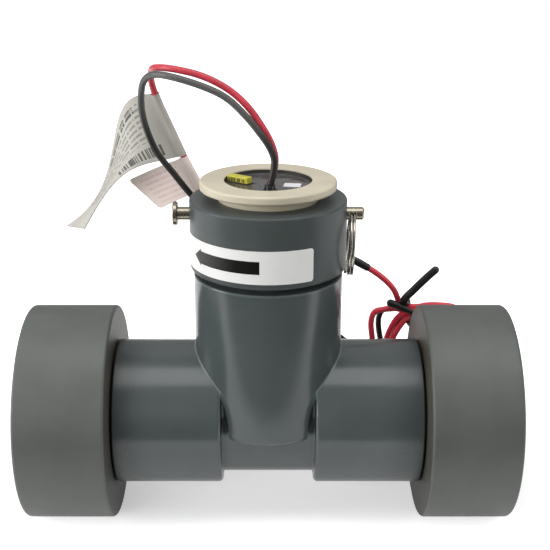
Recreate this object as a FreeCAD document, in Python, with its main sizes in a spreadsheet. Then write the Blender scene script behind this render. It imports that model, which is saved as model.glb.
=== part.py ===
import FreeCAD, Part
import math
import os
from enum import IntEnum
from types import SimpleNamespace

import Sketcher
from FreeCAD import Placement, Rotation, Vector

# Irrigation flow sensor: a pipe tee with two socket adapters, and a paddle-wheel insert pinned in a
# collar on the branch. Millimetres. The run lies along X, the branch points up along Z, and the origin
# is on the floor under the middle of the tee.

# Driving sizes, kept in the sheet
SIZES = {
    # run adapters
    "adapter_od": 108.0,
    "adapter_length": 43.6,
    "adapter_edge": 1.6,
    "socket_bore": 89.2,
    "socket_depth": 38.1,
    "socket_lead": 1.2,
    "spigot_od": 60.3,
    "spigot_length": 36.5,
    "spigot_lead": 1.0,
    "pipe_bore": 49.2,
    "hub_gap": 0.8,
    # tee
    "tee_reach": 76.2,
    "hub_od": 72.9,
    "hub_step": 23.0,
    "waist_od": 61.7,
    "hub_socket_depth": 38.1,
    "weld_clearance": 0.05,
    "hub_edge": 0.8,
    "shoulder_edge": 2.0,
    "shoulder_fillet": 1.2,
    "crotch_round": 1.0,
    "barrel_foot": 3.0,
    "barrel_foot_round": 4.0,
    # sensor collar
    "collar_step": 1.65,
    "collar_height": 34.2,
    "collar_gap": 3.1,
    "collar_edge": 1.2,
    "collar_spigot_length": 38.6,
    # sensor insert
    "insert_od": 48.8,
    "insert_clearance": 0.15,
    "insert_floor": 3.0,
    "insert_recess": 2.4,
    "flange_od": 66.2,
    "flange_thickness": 4.1,
    "flange_lift": 4.6,
    "flange_edge": 1.1,
    "cup_wall": 3.2,
    "resin_drop": 2.6,
    "seal_groove_depth": 2.2,
    "seal_groove_width": 3.4,
    "seal_below_pin": 9.0,
    "seal_pitch": 8.5,
    "pin_tube_wall": 2.2,
    # impeller and its yoke
    "impeller_od": 26.0,
    "impeller_tip_gap": 3.0,
    "impeller_hub_od": 9.2,
    "impeller_width": 11.0,
    "blade_width": 9.0,
    "blade_thickness": 1.7,
    "blade_bow": 1.1,
    "blade_bead": 1.7,
    "target_diameter": 2.0,
    "bush_wall": 1.05,
    "bush_side_gap": 0.3,
    "bush_overhang": 1.4,
    "shaft_diameter": 3.0,
    "shaft_clearance": 0.05,
    "shaft_edge": 0.3,
    "yoke_leg_thickness": 3.2,
    "yoke_leg_width": 10.0,
    # clevis pin and split ring
    "pin_diameter": 6.35,
    "pin_clearance": 0.05,
    "pin_drop": 8.2,
    "pin_head_od": 11.5,
    "pin_head_thickness": 2.4,
    "pin_head_edge": 0.7,
    "pin_standoff": 5.6,
    "pin_tip_edge": 0.8,
    "pin_tail": 5.3,
    "ring_standoff": 2.9,
    "ring_od": 32.0,
    "ring_wire": 1.5,
    "ring_wind_gap": 0.05,
    "ring_hole": 3.8,
    # electronics in the resin
    "board_width": 16.0,
    "board_thickness": 1.6,
    "board_cover": 8.0,
    "board_gap": 2.5,
    "chip_width": 7.0,
    "chip_height": 9.0,
    "chip_thickness": 1.8,
    "coil_od": 12.0,
    "coil_winding_od": 10.4,
    "coil_core": 3.2,
    "coil_height": 14.0,
    "coil_cheek": 1.2,
    "boot_base_od": 7.8,
    "boot_top_od": 7.2,
    "boot_height": 3.4,
    "boot_sunk": 3.0,
    "boot_front": 11.8,
    "boot_side": 1.2,
    "capacitor_length": 12.4,
    "capacitor_width": 4.2,
    "capacitor_rise": 3.4,
    "capacitor_side": 13.8,
    "capacitor_back": 4.1,
    "capacitor_edge": 0.5,
    # label and sticker
    "label_height": 16.0,
    "label_lift": 2.9,
    "label_thickness": 0.15,
    "label_corner": 1.4,
    "sticker_thickness": 0.2,
    "white_length": 8.2,
    "white_width": 6.6,
    "white_side": 11.6,
    "white_front": 1.4,
    # leads
    "lead_diameter": 3.3,
    "sleeve_wall": 0.7,
    "sleeve_clearance": 0.03,
    "hank_thickness": 13.4,
    "hank_back": 61.2,
    "hank_waist_od": 11.0,
    "tie_width": 4.0,
    "tag_tube_bore": 5.4,
    "tag_thickness": 0.4,
}
BLADES = 6
BLADE_SWEEP = 22.0
LABEL_TURN = -117.0
LABEL_SPAN = 150.0
CAPACITOR_TURN = -36.0
WHITE_TURN = -8.0
RING_TURNS = 1.96
RING_LEAN = 3.0
RING_YAW = -3.5


class Length:
    """A size that knows the sheet expression it is bound by and its value."""

    def __init__(self, text, value):
        self.text = text
        self.value = value

    def join(self, sign, other, value):
        return Length(f"({self.text} {sign} {as_length(other).text})", value)

    def __add__(self, other):
        return self.join("+", other, self.value + as_length(other).value)

    def __sub__(self, other):
        return self.join("-", other, self.value - as_length(other).value)

    def __mul__(self, other):
        return self.join("*", other, self.value * as_length(other).value)

    def __truediv__(self, other):
        return self.join("/", other, self.value / as_length(other).value)

    def __neg__(self):
        return Length(f"(0 - {self.text})", -self.value)


def as_length(size):
    """Return a plain number as a Length, and a Length as it is."""
    return size if isinstance(size, Length) else Length(repr(float(size)), float(size))


doc = FreeCAD.newDocument("flow_sensor")
sheet = doc.addObject("Spreadsheet::Sheet", "Sizes")
for row, (alias, number) in enumerate(SIZES.items(), 1):
    sheet.set(f"A{row}", alias)
    sheet.set(f"B{row}", str(number))
    sheet.setAlias(f"B{row}", alias)
doc.recompute()
S = SimpleNamespace(**{alias: Length(f"Sizes.{alias}", number) for alias, number in SIZES.items()})

# Places that several pieces share, measured from the run axis
AXIS_HEIGHT = S.adapter_od / 2
HUB_R = S.hub_od / 2
BORE_R = S.pipe_bore / 2
COLLAR_R = HUB_R + S.collar_step
COLLAR_FOOT = S.tee_reach + S.collar_gap
COLLAR_TOP = COLLAR_FOOT + S.collar_height
INSERT_R = S.insert_od / 2
INSERT_BORE_R = INSERT_R + S.insert_clearance
INSERT_FOOT = BORE_R + S.insert_recess
CUP_R = INSERT_R - S.cup_wall
CUP_FLOOR = INSERT_FOOT + S.insert_floor
FLANGE_FOOT = COLLAR_TOP + S.flange_lift
FLANGE_TOP = FLANGE_FOOT + S.flange_thickness
RESIN_TOP = FLANGE_TOP - S.resin_drop
PIN_R = S.pin_diameter / 2
PIN_HOLE_R = PIN_R + S.pin_clearance
PIN_HEIGHT = COLLAR_TOP - S.pin_drop
PIN_TUBE_R = PIN_HOLE_R + S.pin_tube_wall
UPPER_SEAL = PIN_HEIGHT - S.seal_below_pin
LOWER_SEAL = UPPER_SEAL - S.seal_pitch
IMPELLER_HEIGHT = INSERT_FOOT - S.impeller_tip_gap - S.impeller_od / 2
BUSH_HALF = S.impeller_width / 2 + S.bush_overhang
YOKE_INSIDE = BUSH_HALF + S.bush_side_gap
YOKE_OUTSIDE = YOKE_INSIDE + S.yoke_leg_thickness
SHAFT_R = S.shaft_diameter / 2
BUSH_BORE_R = SHAFT_R + S.shaft_clearance
BUSH_R = BUSH_BORE_R + S.bush_wall
RING_X = COLLAR_R + S.ring_standoff
RING_R = (S.ring_od - S.ring_wire) / 2
BOARD_FRONT = PIN_TUBE_R + S.board_gap + S.board_thickness


class Own(IntEnum):
    """Sketcher's own numbers for a sketch's origin and its two axes."""

    ROOT = -1
    ACROSS = -1
    UP = -2


class Spot(IntEnum):
    """Sketcher's own numbers for the points of one piece of geometry."""

    START = 1
    END = 2
    CENTRE = 3


def new_body(name, *, turn=0.0, across=0.0, height=0.0):
    """Return an empty body at a place along X and above the run axis, turned about Z by some degrees."""
    body = doc.addObject("PartDesign::Body", name)
    body.Placement = Placement(Vector(), Rotation(Vector(0, 0, 1), turn))
    body.setExpression("Placement.Base.x", as_length(across).text)
    body.setExpression("Placement.Base.z", (AXIS_HEIGHT + height).text)
    return body


def new_sketch(body, name, role, lift=None):
    """Return an empty sketch on one of the body's origin planes, lifted along the plane's normal."""
    sketch = body.newObject("Sketcher::SketchObject", name)
    plane = next(feature for feature in body.Origin.OriginFeatures if feature.Role == role)
    sketch.AttachmentSupport = (plane, [""])
    sketch.MapMode = "FlatFace"
    if lift is not None:
        sketch.setExpression("AttachmentOffset.Base.z", lift.text)
    return sketch


def hold_point(sketch, geometry, end, across, up):
    """Bind one point of a sketch to its place from the sketch's origin."""
    for kind, axis, place in (("DistanceX", Own.UP, across), ("DistanceY", Own.ACROSS, up)):
        place = as_length(place)
        if abs(place.value) < 1e-9:
            sketch.addConstraint(Sketcher.Constraint("PointOnObject", geometry, end, axis))
            continue
        held = Sketcher.Constraint(kind, Own.ROOT, Spot.START, geometry, end, place.value)
        index = sketch.addConstraint(held)
        sketch.setExpression(f"Constraints[{index}]", place.text)


def bowed_side(sketch, start, end, bow):
    """Add an arc from start to end that stands out by bow to the right of its way; return its ends."""
    from_x, from_y, to_x, to_y = (as_length(place) for place in (*start, *end))
    run_x = to_x - from_x
    run_y = to_y - from_y
    chord = math.hypot(run_x.value, run_y.value)
    bow = as_length(bow)
    first = Vector(from_x.value, from_y.value)
    last = Vector(to_x.value, to_y.value)
    side = Vector(run_y.value, -run_x.value) * (bow.value / chord)
    index = sketch.addGeometry(Part.Arc(first, (first + last) * 0.5 + side, last))
    starts_first = sketch.getPoint(index, Spot.START).isEqual(first, 1e-6)
    radius = ((run_x * run_x + run_y * run_y) / 4 + bow * bow) / (bow * 2)
    size = sketch.addConstraint(Sketcher.Constraint("Radius", index, abs(radius.value)))
    sketch.setExpression(f"Constraints[{size}]", f"abs({radius.text})")
    return index, *((Spot.START, Spot.END) if starts_first else (Spot.END, Spot.START))


def outline(body, name, role, corners, lift=None):
    """Return a closed sketch through corners; a third item of a corner bows the side after it."""
    sketch = new_sketch(body, name, role, lift)
    sides = []
    for number, corner in enumerate(corners):
        following = corners[(number + 1) % len(corners)]
        if len(corner) == 3:
            sides.append(bowed_side(sketch, corner[:2], following[:2], corner[2]))
            continue
        ends = [Vector(*(as_length(place).value for place in point[:2])) for point in (corner, following)]
        sides.append((sketch.addGeometry(Part.LineSegment(*ends)), Spot.START, Spot.END))
    for number, (side, start, _) in enumerate(sides):
        before, _, end = sides[number - 1]
        sketch.addConstraint(Sketcher.Constraint("Coincident", before, end, side, start))
        hold_point(sketch, side, start, *corners[number][:2])
    return sketch


def disc(body, name, role, radius, across=0.0, up=0.0, lift=None):
    """Return a sketch of one circle."""
    sketch = new_sketch(body, name, role, lift)
    radius = as_length(radius)
    centre = Vector(as_length(across).value, as_length(up).value)
    index = sketch.addGeometry(Part.Circle(centre, Vector(0, 0, 1), radius.value))
    size = sketch.addConstraint(Sketcher.Constraint("Radius", index, radius.value))
    sketch.setExpression(f"Constraints[{size}]", radius.text)
    hold_point(sketch, index, Spot.CENTRE, across, up)
    return sketch


def turned(body, name, sketch, axis, kind="Revolution", angle=360.0):
    """Add or cut the solid that a sketch sweeps about one of its own axes."""
    feature = body.newObject(f"PartDesign::{kind}", name)
    feature.Profile = sketch
    feature.ReferenceAxis = (sketch, [axis])
    feature.Angle = angle
    doc.recompute()
    return feature


def padded(body, name, sketch, length, side="Symmetric"):
    """Add the solid that a sketch sweeps along its normal."""
    feature = body.newObject("PartDesign::Pad", name)
    feature.Profile = sketch
    feature.SideType = side
    feature.setExpression("Length", as_length(length).text)
    doc.recompute()
    return feature


def cut_through(body, name, sketch, length=None):
    """Cut a sketch through the whole body, or over a length centred on it, and check that it cut."""
    before = body.Shape.Volume
    feature = body.newObject("PartDesign::Pocket", name)
    feature.Profile = sketch
    feature.SideType = "Symmetric"
    if length is None:
        feature.Type = "ThroughAll"
    else:
        feature.setExpression("Length", as_length(length).text)
    doc.recompute()
    if not body.Shape.Volume < before:
        raise RuntimeError(f"{name} cuts nothing")
    return feature


def rounded(body, name, radius, test):
    """Round the edges of the body's last feature that pass a test."""
    base = body.Tip
    chosen = [f"Edge{number}" for number, edge in enumerate(base.Shape.Edges, 1) if test(edge)]
    if not chosen:
        raise RuntimeError(f"{name} finds no edge")
    feature = body.newObject("PartDesign::Fillet", name)
    feature.Base = (base, chosen)
    feature.setExpression("Radius", radius.text)
    doc.recompute()
    return feature


def is_ring(edge, radius, axis, *places):
    """Tell whether an edge is a circle of a radius, centred at one of some places along an axis."""
    curve = edge.Curve
    if not isinstance(curve, Part.Circle) or abs(curve.Radius - radius.value) > 1e-4:
        return False
    place = getattr(curve.Center, axis)
    return any(abs(place - as_length(wanted).value) < 1e-4 for wanted in places)


def primitive(kind, name, sizes, place, turn=Rotation()):
    """Return a Part primitive whose sizes and place are bound to the sheet."""
    solid = doc.addObject(f"Part::{kind}", name)
    for key, size in sizes.items():
        solid.setExpression(key, as_length(size).text)
    solid.Placement = Placement(Vector(), turn)
    for axis, distance in zip("xyz", place):
        solid.setExpression(f"Placement.Base.{axis}", as_length(distance).text)
    return solid


def joined(name, pieces):
    """Return the union of some objects."""
    union = doc.addObject("Part::MultiFuse", name)
    union.Shapes = pieces
    return union


def cut_from(name, base, tool, kind="Cut"):
    """Return a base less a tool, or what the two share."""
    result = doc.addObject(f"Part::{kind}", name)
    result.Base = base
    result.Tool = tool
    return result


QUARTER_BOW = 1 - math.sqrt(0.5)
ALONG_X = Rotation(Vector(0, 1, 0), 90)
ALONG_Y = Rotation(Vector(1, 0, 0), -90)


# Tee: two run hubs on a slimmer waist, a branch barrel with a rounded foot, and three pipe sockets
def make_tee():
    body = new_body("tee_body")
    reach, step, waist_r = S.tee_reach, S.hub_step, S.waist_od / 2
    socket_r = S.spigot_od / 2 + S.weld_clearance
    stop = reach - S.hub_socket_depth
    edge, fillet = S.shoulder_edge, S.shoulder_fillet
    edge_bow, fillet_bow = edge * QUARTER_BOW, -fillet * QUARTER_BOW
    run = [(-reach, 0), (reach, 0), (reach, HUB_R), (step + edge, HUB_R, edge_bow)]
    run += [(step, HUB_R - edge), (step, waist_r + fillet, fillet_bow)]
    run += [(step - fillet, waist_r), (fillet - step, waist_r, fillet_bow)]
    run += [(-step, waist_r + fillet), (-step, HUB_R - edge, edge_bow), (-(step + edge), HUB_R)]
    run += [(-reach, HUB_R)]
    turned(body, "run_hubs", outline(body, "run_profile", "XZ_Plane", run), "H_Axis")
    foot_r = S.barrel_foot_round
    foot_bow = foot_r * QUARTER_BOW
    foot = -S.barrel_foot
    barrel = [(0, foot), (HUB_R - foot_r, foot, foot_bow), (HUB_R, foot + foot_r)]
    barrel += [(HUB_R, reach), (0, reach)]
    turned(body, "branch_barrel", outline(body, "branch_profile", "XZ_Plane", barrel), "V_Axis")

    def in_crotch(edge):
        point = edge.valueAt((edge.FirstParameter + edge.LastParameter) / 2)
        on_barrel = abs(math.hypot(point.x, point.y) - HUB_R.value) < 0.01
        on_run = abs(point.x) > step.value - 0.01
        return on_barrel and on_run and (foot + foot_r).value < point.z < HUB_R.value

    rounded(body, "crotch_blend", S.crotch_round, in_crotch)
    rounded(body, "hub_edges", S.hub_edge,
            lambda edge: is_ring(edge, HUB_R, "x", -reach, reach) or is_ring(edge, HUB_R, "z", reach))
    sockets = [(-reach, 0), (reach, 0), (reach, socket_r), (stop, socket_r), (stop, BORE_R)]
    sockets += [(-stop, BORE_R), (-stop, socket_r), (-reach, socket_r)]
    turned(body, "run_bore", outline(body, "run_bore_profile", "XZ_Plane", sockets), "H_Axis", "Groove")
    branch = [(0, 0), (INSERT_BORE_R, 0), (INSERT_BORE_R, stop), (socket_r, stop)]
    branch += [(socket_r, reach), (0, reach)]
    profile = outline(body, "branch_bore_profile", "XZ_Plane", branch)
    turned(body, "branch_bore", profile, "V_Axis", "Groove")
    return body


# Adapter: a wide pipe socket outside the tee, with a spigot welded into the tee's hub
def make_adapter(name, turn):
    body = new_body(name, turn=turn)
    face = S.tee_reach + S.hub_gap
    mouth = face + S.adapter_length
    stop = mouth - S.socket_depth
    tip = face - S.spigot_length
    outer_r, socket_r, spigot_r = S.adapter_od / 2, S.socket_bore / 2, S.spigot_od / 2
    profile = [(tip, BORE_R), (stop, BORE_R), (stop, socket_r), (mouth - S.socket_lead, socket_r)]
    profile += [(mouth, socket_r + S.socket_lead), (mouth, outer_r), (face, outer_r), (face, spigot_r)]
    profile += [(tip + S.spigot_lead, spigot_r), (tip, spigot_r - S.spigot_lead)]
    turned(body, name + "_turned", outline(body, name + "_profile", "XZ_Plane", profile), "H_Axis")
    rounded(body, name + "_edges", S.adapter_edge, lambda edge: is_ring(edge, outer_r, "x", face, mouth))
    return body


# Collar: sits over the branch on its own spigot, and is drilled across for the pin
def make_collar():
    body = new_body("sensor_collar")
    tip = COLLAR_FOOT - S.collar_spigot_length
    spigot_r = S.spigot_od / 2
    lead = S.spigot_lead
    profile = [(INSERT_BORE_R, tip), (spigot_r - lead, tip), (spigot_r, tip + lead)]
    profile += [(spigot_r, COLLAR_FOOT), (COLLAR_R, COLLAR_FOOT), (COLLAR_R, COLLAR_TOP)]
    profile += [(INSERT_BORE_R + lead, COLLAR_TOP), (INSERT_BORE_R, COLLAR_TOP - lead)]
    turned(body, "collar_turned", outline(body, "collar_profile", "XZ_Plane", profile), "V_Axis")
    rounded(body, "collar_edges", S.collar_edge,
            lambda edge: is_ring(edge, COLLAR_R, "z", COLLAR_FOOT, COLLAR_TOP))
    cut_through(body, "pin_holes", disc(body, "pin_hole_ring", "YZ_Plane", PIN_HOLE_R, 0, PIN_HEIGHT))
    return body


# Insert: a flanged cup with two seal grooves, a tube across it for the pin, and a yoke for the impeller
def make_insert():
    body = new_body("sensor_insert")
    flange_r = S.flange_od / 2
    groove_r = INSERT_R - S.seal_groove_depth
    profile = [(0, INSERT_FOOT), (INSERT_R, INSERT_FOOT)]
    for middle in (LOWER_SEAL, UPPER_SEAL):
        low, high = middle - S.seal_groove_width / 2, middle + S.seal_groove_width / 2
        profile += [(INSERT_R, low), (groove_r, low), (groove_r, high), (INSERT_R, high)]
    profile += [(INSERT_R, FLANGE_FOOT), (flange_r, FLANGE_FOOT), (flange_r, FLANGE_TOP)]
    profile += [(CUP_R, FLANGE_TOP), (CUP_R, CUP_FLOOR), (0, CUP_FLOOR)]
    turned(body, "insert_turned", outline(body, "insert_profile", "XZ_Plane", profile), "V_Axis")
    rounded(body, "flange_edges", S.flange_edge,
            lambda edge: is_ring(edge, flange_r, "z", FLANGE_FOOT, FLANGE_TOP))
    tube = disc(body, "pin_tube_ring", "YZ_Plane", PIN_TUBE_R, 0, PIN_HEIGHT)
    padded(body, "pin_tube", tube, (CUP_R + S.cup_wall / 2) * 2)
    half = S.yoke_leg_width / 2
    shaft = IMPELLER_HEIGHT
    round_bow = half * QUARTER_BOW
    leg = [(-half, shaft, round_bow), (0, shaft - half, round_bow), (half, shaft)]
    leg += [(half, INSERT_FOOT), (-half, INSERT_FOOT)]
    padded(body, "yoke_block", outline(body, "yoke_profile", "XZ_Plane", leg), YOKE_OUTSIDE * 2)
    gap = [(-half, shaft - half), (half, shaft - half), (half, INSERT_FOOT), (-half, INSERT_FOOT)]
    cut_through(body, "yoke_gap", outline(body, "yoke_gap_profile", "XZ_Plane", gap), YOKE_INSIDE * 2)
    cut_through(body, "pin_bore", disc(body, "pin_bore_ring", "YZ_Plane", PIN_HOLE_R, 0, PIN_HEIGHT))
    cut_through(body, "shaft_bore", disc(body, "shaft_bore_ring", "XZ_Plane", SHAFT_R, 0, shaft),
                YOKE_OUTSIDE * 2)
    return body


# Seals: each fills its groove out to the collar's bore
def make_seal(name, height):
    half = (S.seal_groove_depth + S.insert_clearance) / 2
    sizes = {"Radius1": INSERT_BORE_R - half, "Radius2": half}
    return primitive("Torus", name, sizes, (0, 0, AXIS_HEIGHT + height))


# Impeller: six forward-swept blades, each with a bead at its tip that carries a metal target
def tip_place(blade_angle):
    """Return where the middle of a blade's bead is, from the impeller's axis."""
    reach = S.impeller_od / 2 - S.blade_bead
    return reach * math.sin(math.radians(blade_angle)), reach * math.cos(math.radians(blade_angle))


def make_impeller():
    body = new_body("impeller", height=IMPELLER_HEIGHT)
    hub_r = S.impeller_hub_od / 2
    padded(body, "impeller_hub", disc(body, "hub_ring", "XZ_Plane", hub_r), S.impeller_width)
    half = S.blade_thickness / 2
    tip_x, tip_z = tip_place(BLADE_SWEEP)
    across = half * math.cos(math.radians(BLADE_SWEEP))
    down = half * math.sin(math.radians(BLADE_SWEEP))
    root = hub_r - half
    blade = [(half, root, -S.blade_bow), (tip_x + across, tip_z - down)]
    blade += [(tip_x - across, tip_z + down, S.blade_bow), (-half, root)]
    wing = padded(body, "blade", outline(body, "blade_profile", "XZ_Plane", blade), S.blade_width)
    ring = disc(body, "bead_ring", "XZ_Plane", S.blade_bead, tip_x, tip_z)
    bead = padded(body, "bead", ring, S.blade_width)
    ring = disc(body, "target_ring", "XZ_Plane", S.target_diameter / 2, tip_x, tip_z)
    hole = cut_through(body, "target_hole", ring)
    wheel = body.newObject("PartDesign::PolarPattern", "blades")
    wheel.Originals = [wing, bead, hole]
    wheel.Axis = (next(f for f in body.Origin.OriginFeatures if f.Role == "Y_Axis"), [""])
    wheel.Angle = 360
    wheel.Occurrences = BLADES
    body.Tip = wheel
    doc.recompute()
    cut_through(body, "bush_bore", disc(body, "bush_bore_ring", "XZ_Plane", BUSH_R))
    return body


def make_targets():
    pins = []
    for number in range(BLADES):
        tip_x, tip_z = tip_place(BLADE_SWEEP + 360 / BLADES * number)
        sizes = {"Radius": S.target_diameter / 2, "Height": S.blade_width}
        place = (tip_x, -S.blade_width / 2, AXIS_HEIGHT + IMPELLER_HEIGHT + tip_z)
        pins.append(primitive("Cylinder", f"target_{number}", sizes, place, ALONG_Y))
    group = doc.addObject("Part::Compound", "impeller_targets")
    group.Links = pins
    return group


def make_bush():
    body = new_body("impeller_bush", height=IMPELLER_HEIGHT)
    padded(body, "bush_tube", disc(body, "bush_ring", "XZ_Plane", BUSH_R), BUSH_HALF * 2)
    cut_through(body, "shaft_way", disc(body, "shaft_way_ring", "XZ_Plane", BUSH_BORE_R))
    return body


def make_shaft():
    body = new_body("impeller_shaft", height=IMPELLER_HEIGHT)
    edge = S.shaft_edge
    profile = [(0, -YOKE_OUTSIDE), (SHAFT_R - edge, -YOKE_OUTSIDE), (SHAFT_R, edge - YOKE_OUTSIDE)]
    profile += [(SHAFT_R, YOKE_OUTSIDE - edge), (SHAFT_R - edge, YOKE_OUTSIDE), (0, YOKE_OUTSIDE)]
    turned(body, "shaft_turned", outline(body, "shaft_profile", "XY_Plane", profile), "V_Axis")
    return body


# Pin and ring: a headed pin across the collar, with a double-wound ring through the hole in its tail
def make_pin():
    body = new_body("clevis_pin", height=PIN_HEIGHT)
    seat = -(COLLAR_R + S.pin_standoff)
    head = seat - S.pin_head_thickness
    head_r = S.pin_head_od / 2
    tip = RING_X + S.pin_tail
    profile = [(head, 0), (tip, 0), (tip, PIN_R - S.pin_tip_edge), (tip - S.pin_tip_edge, PIN_R)]
    profile += [(seat, PIN_R), (seat, head_r), (head, head_r)]
    turned(body, "pin_turned", outline(body, "pin_profile", "XZ_Plane", profile), "H_Axis")
    rounded(body, "pin_head_edges", S.pin_head_edge, lambda edge: is_ring(edge, head_r, "x", seat, head))
    cut_through(body, "ring_hole", disc(body, "ring_hole_ring", "XZ_Plane", S.ring_hole / 2, RING_X))
    return body


def make_ring():
    half_length = PIN_R.value
    sag = RING_R.value - math.sqrt(RING_R.value**2 - half_length**2)
    drop = RING_R - sag / 2
    lean = math.radians(RING_LEAN)
    across, height = RING_X - drop * math.sin(lean), PIN_HEIGHT - drop * math.cos(lean)
    body = new_body("split_ring", across=across, height=height)
    hang = Rotation(Vector(0, 0, 1), RING_YAW).multiply(Rotation(Vector(0, 1, 0), RING_LEAN))
    body.Placement = Placement(body.Placement.Base, hang)
    pitch = S.ring_wire + S.ring_wind_gap
    start = -pitch * (RING_TURNS / 2)
    winding = body.newObject("PartDesign::AdditiveHelix", "winding")
    wire = disc(body, "wire_ring", "XZ_Plane", S.ring_wire / 2, start, -RING_R)
    winding.Profile = wire
    winding.ReferenceAxis = (wire, ["H_Axis"])
    winding.Mode = "pitch-turns-angle"
    winding.setExpression("Pitch", pitch.text)
    winding.Turns = RING_TURNS
    body.Tip = winding
    doc.recompute()
    return body


# Electronics: a board and a pickup coil cast into the cup, and a bead of sealant round the leads
def make_board():
    front = -BOARD_FRONT
    top = RESIN_TOP - S.board_cover
    sizes = {"Length": S.board_width, "Width": S.board_thickness, "Height": top - CUP_FLOOR}
    plate = primitive("Box", "board_plate", sizes, (-S.board_width / 2, front, AXIS_HEIGHT + CUP_FLOOR))
    pieces = [plate]
    for number, share in enumerate((0.3, 0.62)):
        sizes = {"Length": S.chip_width, "Width": S.chip_thickness, "Height": S.chip_height}
        height = AXIS_HEIGHT + CUP_FLOOR + (top - CUP_FLOOR) * share
        place = (-S.chip_width / 2, front - S.chip_thickness, height)
        pieces.append(primitive("Box", f"chip_{number}", sizes, place))
    return joined("circuit_board", pieces)


def make_coil():
    body = new_body("pickup_coil", height=CUP_FLOOR)
    core_r, winding_r, cheek_r = S.coil_core / 2, S.coil_winding_od / 2, S.coil_od / 2
    high, cheek = S.coil_height, S.coil_cheek
    profile = [(core_r, 0), (cheek_r, 0), (cheek_r, cheek), (winding_r, cheek), (winding_r, high - cheek)]
    profile += [(cheek_r, high - cheek), (cheek_r, high), (core_r, high)]
    turned(body, "coil_turned", outline(body, "coil_profile", "XZ_Plane", profile), "V_Axis")
    return body


def make_boot():
    sizes = {"Radius1": S.boot_base_od / 2, "Radius2": S.boot_top_od / 2}
    sizes["Height"] = S.boot_height + S.boot_sunk
    place = (S.boot_side, -S.boot_front, AXIS_HEIGHT + RESIN_TOP - S.boot_sunk)
    return primitive("Cone", "lead_boot", sizes, place)


def make_capacitor():
    body = new_body("film_capacitor", turn=CAPACITOR_TURN, across=-S.capacitor_side, height=RESIN_TOP)
    body.setExpression("Placement.Base.y", S.capacitor_back.text)
    length, width = S.capacitor_length / 2, S.capacitor_width / 2
    corners = [(-length, -width), (length, -width), (length, width), (-length, width)]
    foot = outline(body, "capacitor_foot", "XY_Plane", corners)
    padded(body, "capacitor_box", foot, S.capacitor_rise, "One side")
    rounded(body, "capacitor_edges", S.capacitor_edge,
            lambda edge: edge.CenterOfMass.z > S.capacitor_edge.value)
    return body


def make_potting(*cast_in):
    sizes = {"Radius": CUP_R, "Height": RESIN_TOP - CUP_FLOOR}
    resin = primitive("Cylinder", "resin_fill", sizes, (0, 0, AXIS_HEIGHT + CUP_FLOOR))
    sizes = {"Radius": PIN_TUBE_R, "Height": S.insert_od}
    tube = primitive("Cylinder", "pin_tube_room", sizes, (-INSERT_R, 0, AXIS_HEIGHT + PIN_HEIGHT), ALONG_X)
    return cut_from("potting", resin, joined("cast_in_resin", [tube, *cast_in]))


# Label and sticker
def make_label():
    body = new_body("flow_label", turn=LABEL_TURN - 90, height=COLLAR_FOOT + S.label_lift)
    outer = COLLAR_R + S.label_thickness
    profile = [(COLLAR_R, 0), (outer, 0), (outer, S.label_height), (COLLAR_R, S.label_height)]
    strip = outline(body, "label_profile", "XZ_Plane", profile)
    turned(body, "label_wrap", strip, "V_Axis", angle=LABEL_SPAN)
    rounded(body, "label_corners", S.label_corner,
            lambda edge: abs(edge.Length - S.label_thickness.value) < 1e-6)
    return body


def make_white_sticker():
    turn = Rotation(Vector(0, 0, 1), WHITE_TURN)
    along, across = turn.multVec(Vector(1, 0, 0)), turn.multVec(Vector(0, 1, 0))
    half_length, half_width = S.white_length / 2, S.white_width / 2
    place = [S.white_side - half_length * along.x - half_width * across.x]
    place += [-S.white_front - half_length * along.y - half_width * across.y, AXIS_HEIGHT + RESIN_TOP]
    sizes = {"Length": S.white_length, "Width": S.white_width, "Height": S.sticker_thickness}
    return primitive("Box", "white_sticker", sizes, place, turn)


# Leads: places from the run axis, chosen by hand along each lead
RED_ROUTE = [
    (1.0, -10.0, 123.0), (4.1, -9.3, 132.0), (2.1, -7.7, 140.5), (-2.6, -6.0, 148.8),
    (-9.2, -4.2, 158.0), (-18.0, -2.6, 165.8), (-30.5, -1.0, 172.0), (-45.0, 2.0, 174.7),
    (-53.5, 10.0, 174.0), (-56.5, 22.0, 171.0), (-58.0, 31.0, 164.5), (-55.5, 35.0, 154.0),
    (-49.5, 37.0, 139.5), (-41.5, 39.0, 120.0), (-31.0, 43.0, 99.0), (-15.0, 49.0, 90.0),
    (5.0, 51.0, 83.0), (30.0, 48.0, 73.5), (49.0, 45.0, 64.5), (59.5, 47.0, 57.5),
    (68.0, 51.0, 48.5), (71.5, 55.5, 40.5), (73.0, 59.0, 35.0),
]
BLACK_ROUTE = [
    (0.9, -13.5, 123.0), (3.8, -12.9, 132.0), (1.5, -11.4, 139.5), (-4.0, -9.7, 147.0),
    (-11.0, -6.9, 155.0), (-19.5, -4.9, 162.8), (-31.0, -2.7, 167.5), (-44.0, 0.0, 171.0),
    (-54.0, 7.0, 171.5), (-59.5, 14.0, 167.5), (-61.5, 18.0, 160.0), (-61.5, 19.0, 150.0),
    (-58.5, 19.0, 139.0), (-54.5, 20.0, 129.5), (-47.5, 21.0, 120.5), (-40.0, 23.0, 109.5),
    (-33.0, 33.0, 98.0), (-21.0, 42.0, 85.0), (-6.0, 46.5, 69.0), (7.0, 49.0, 54.0),
    (22.0, 49.0, 37.0), (36.0, 51.0, 22.0), (48.0, 55.0, 11.0), (58.0, 59.0, 3.0),
]
ARC_SHARE = 0.45
SLEEVE_PLACE = RED_ROUTE[-5]


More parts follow.
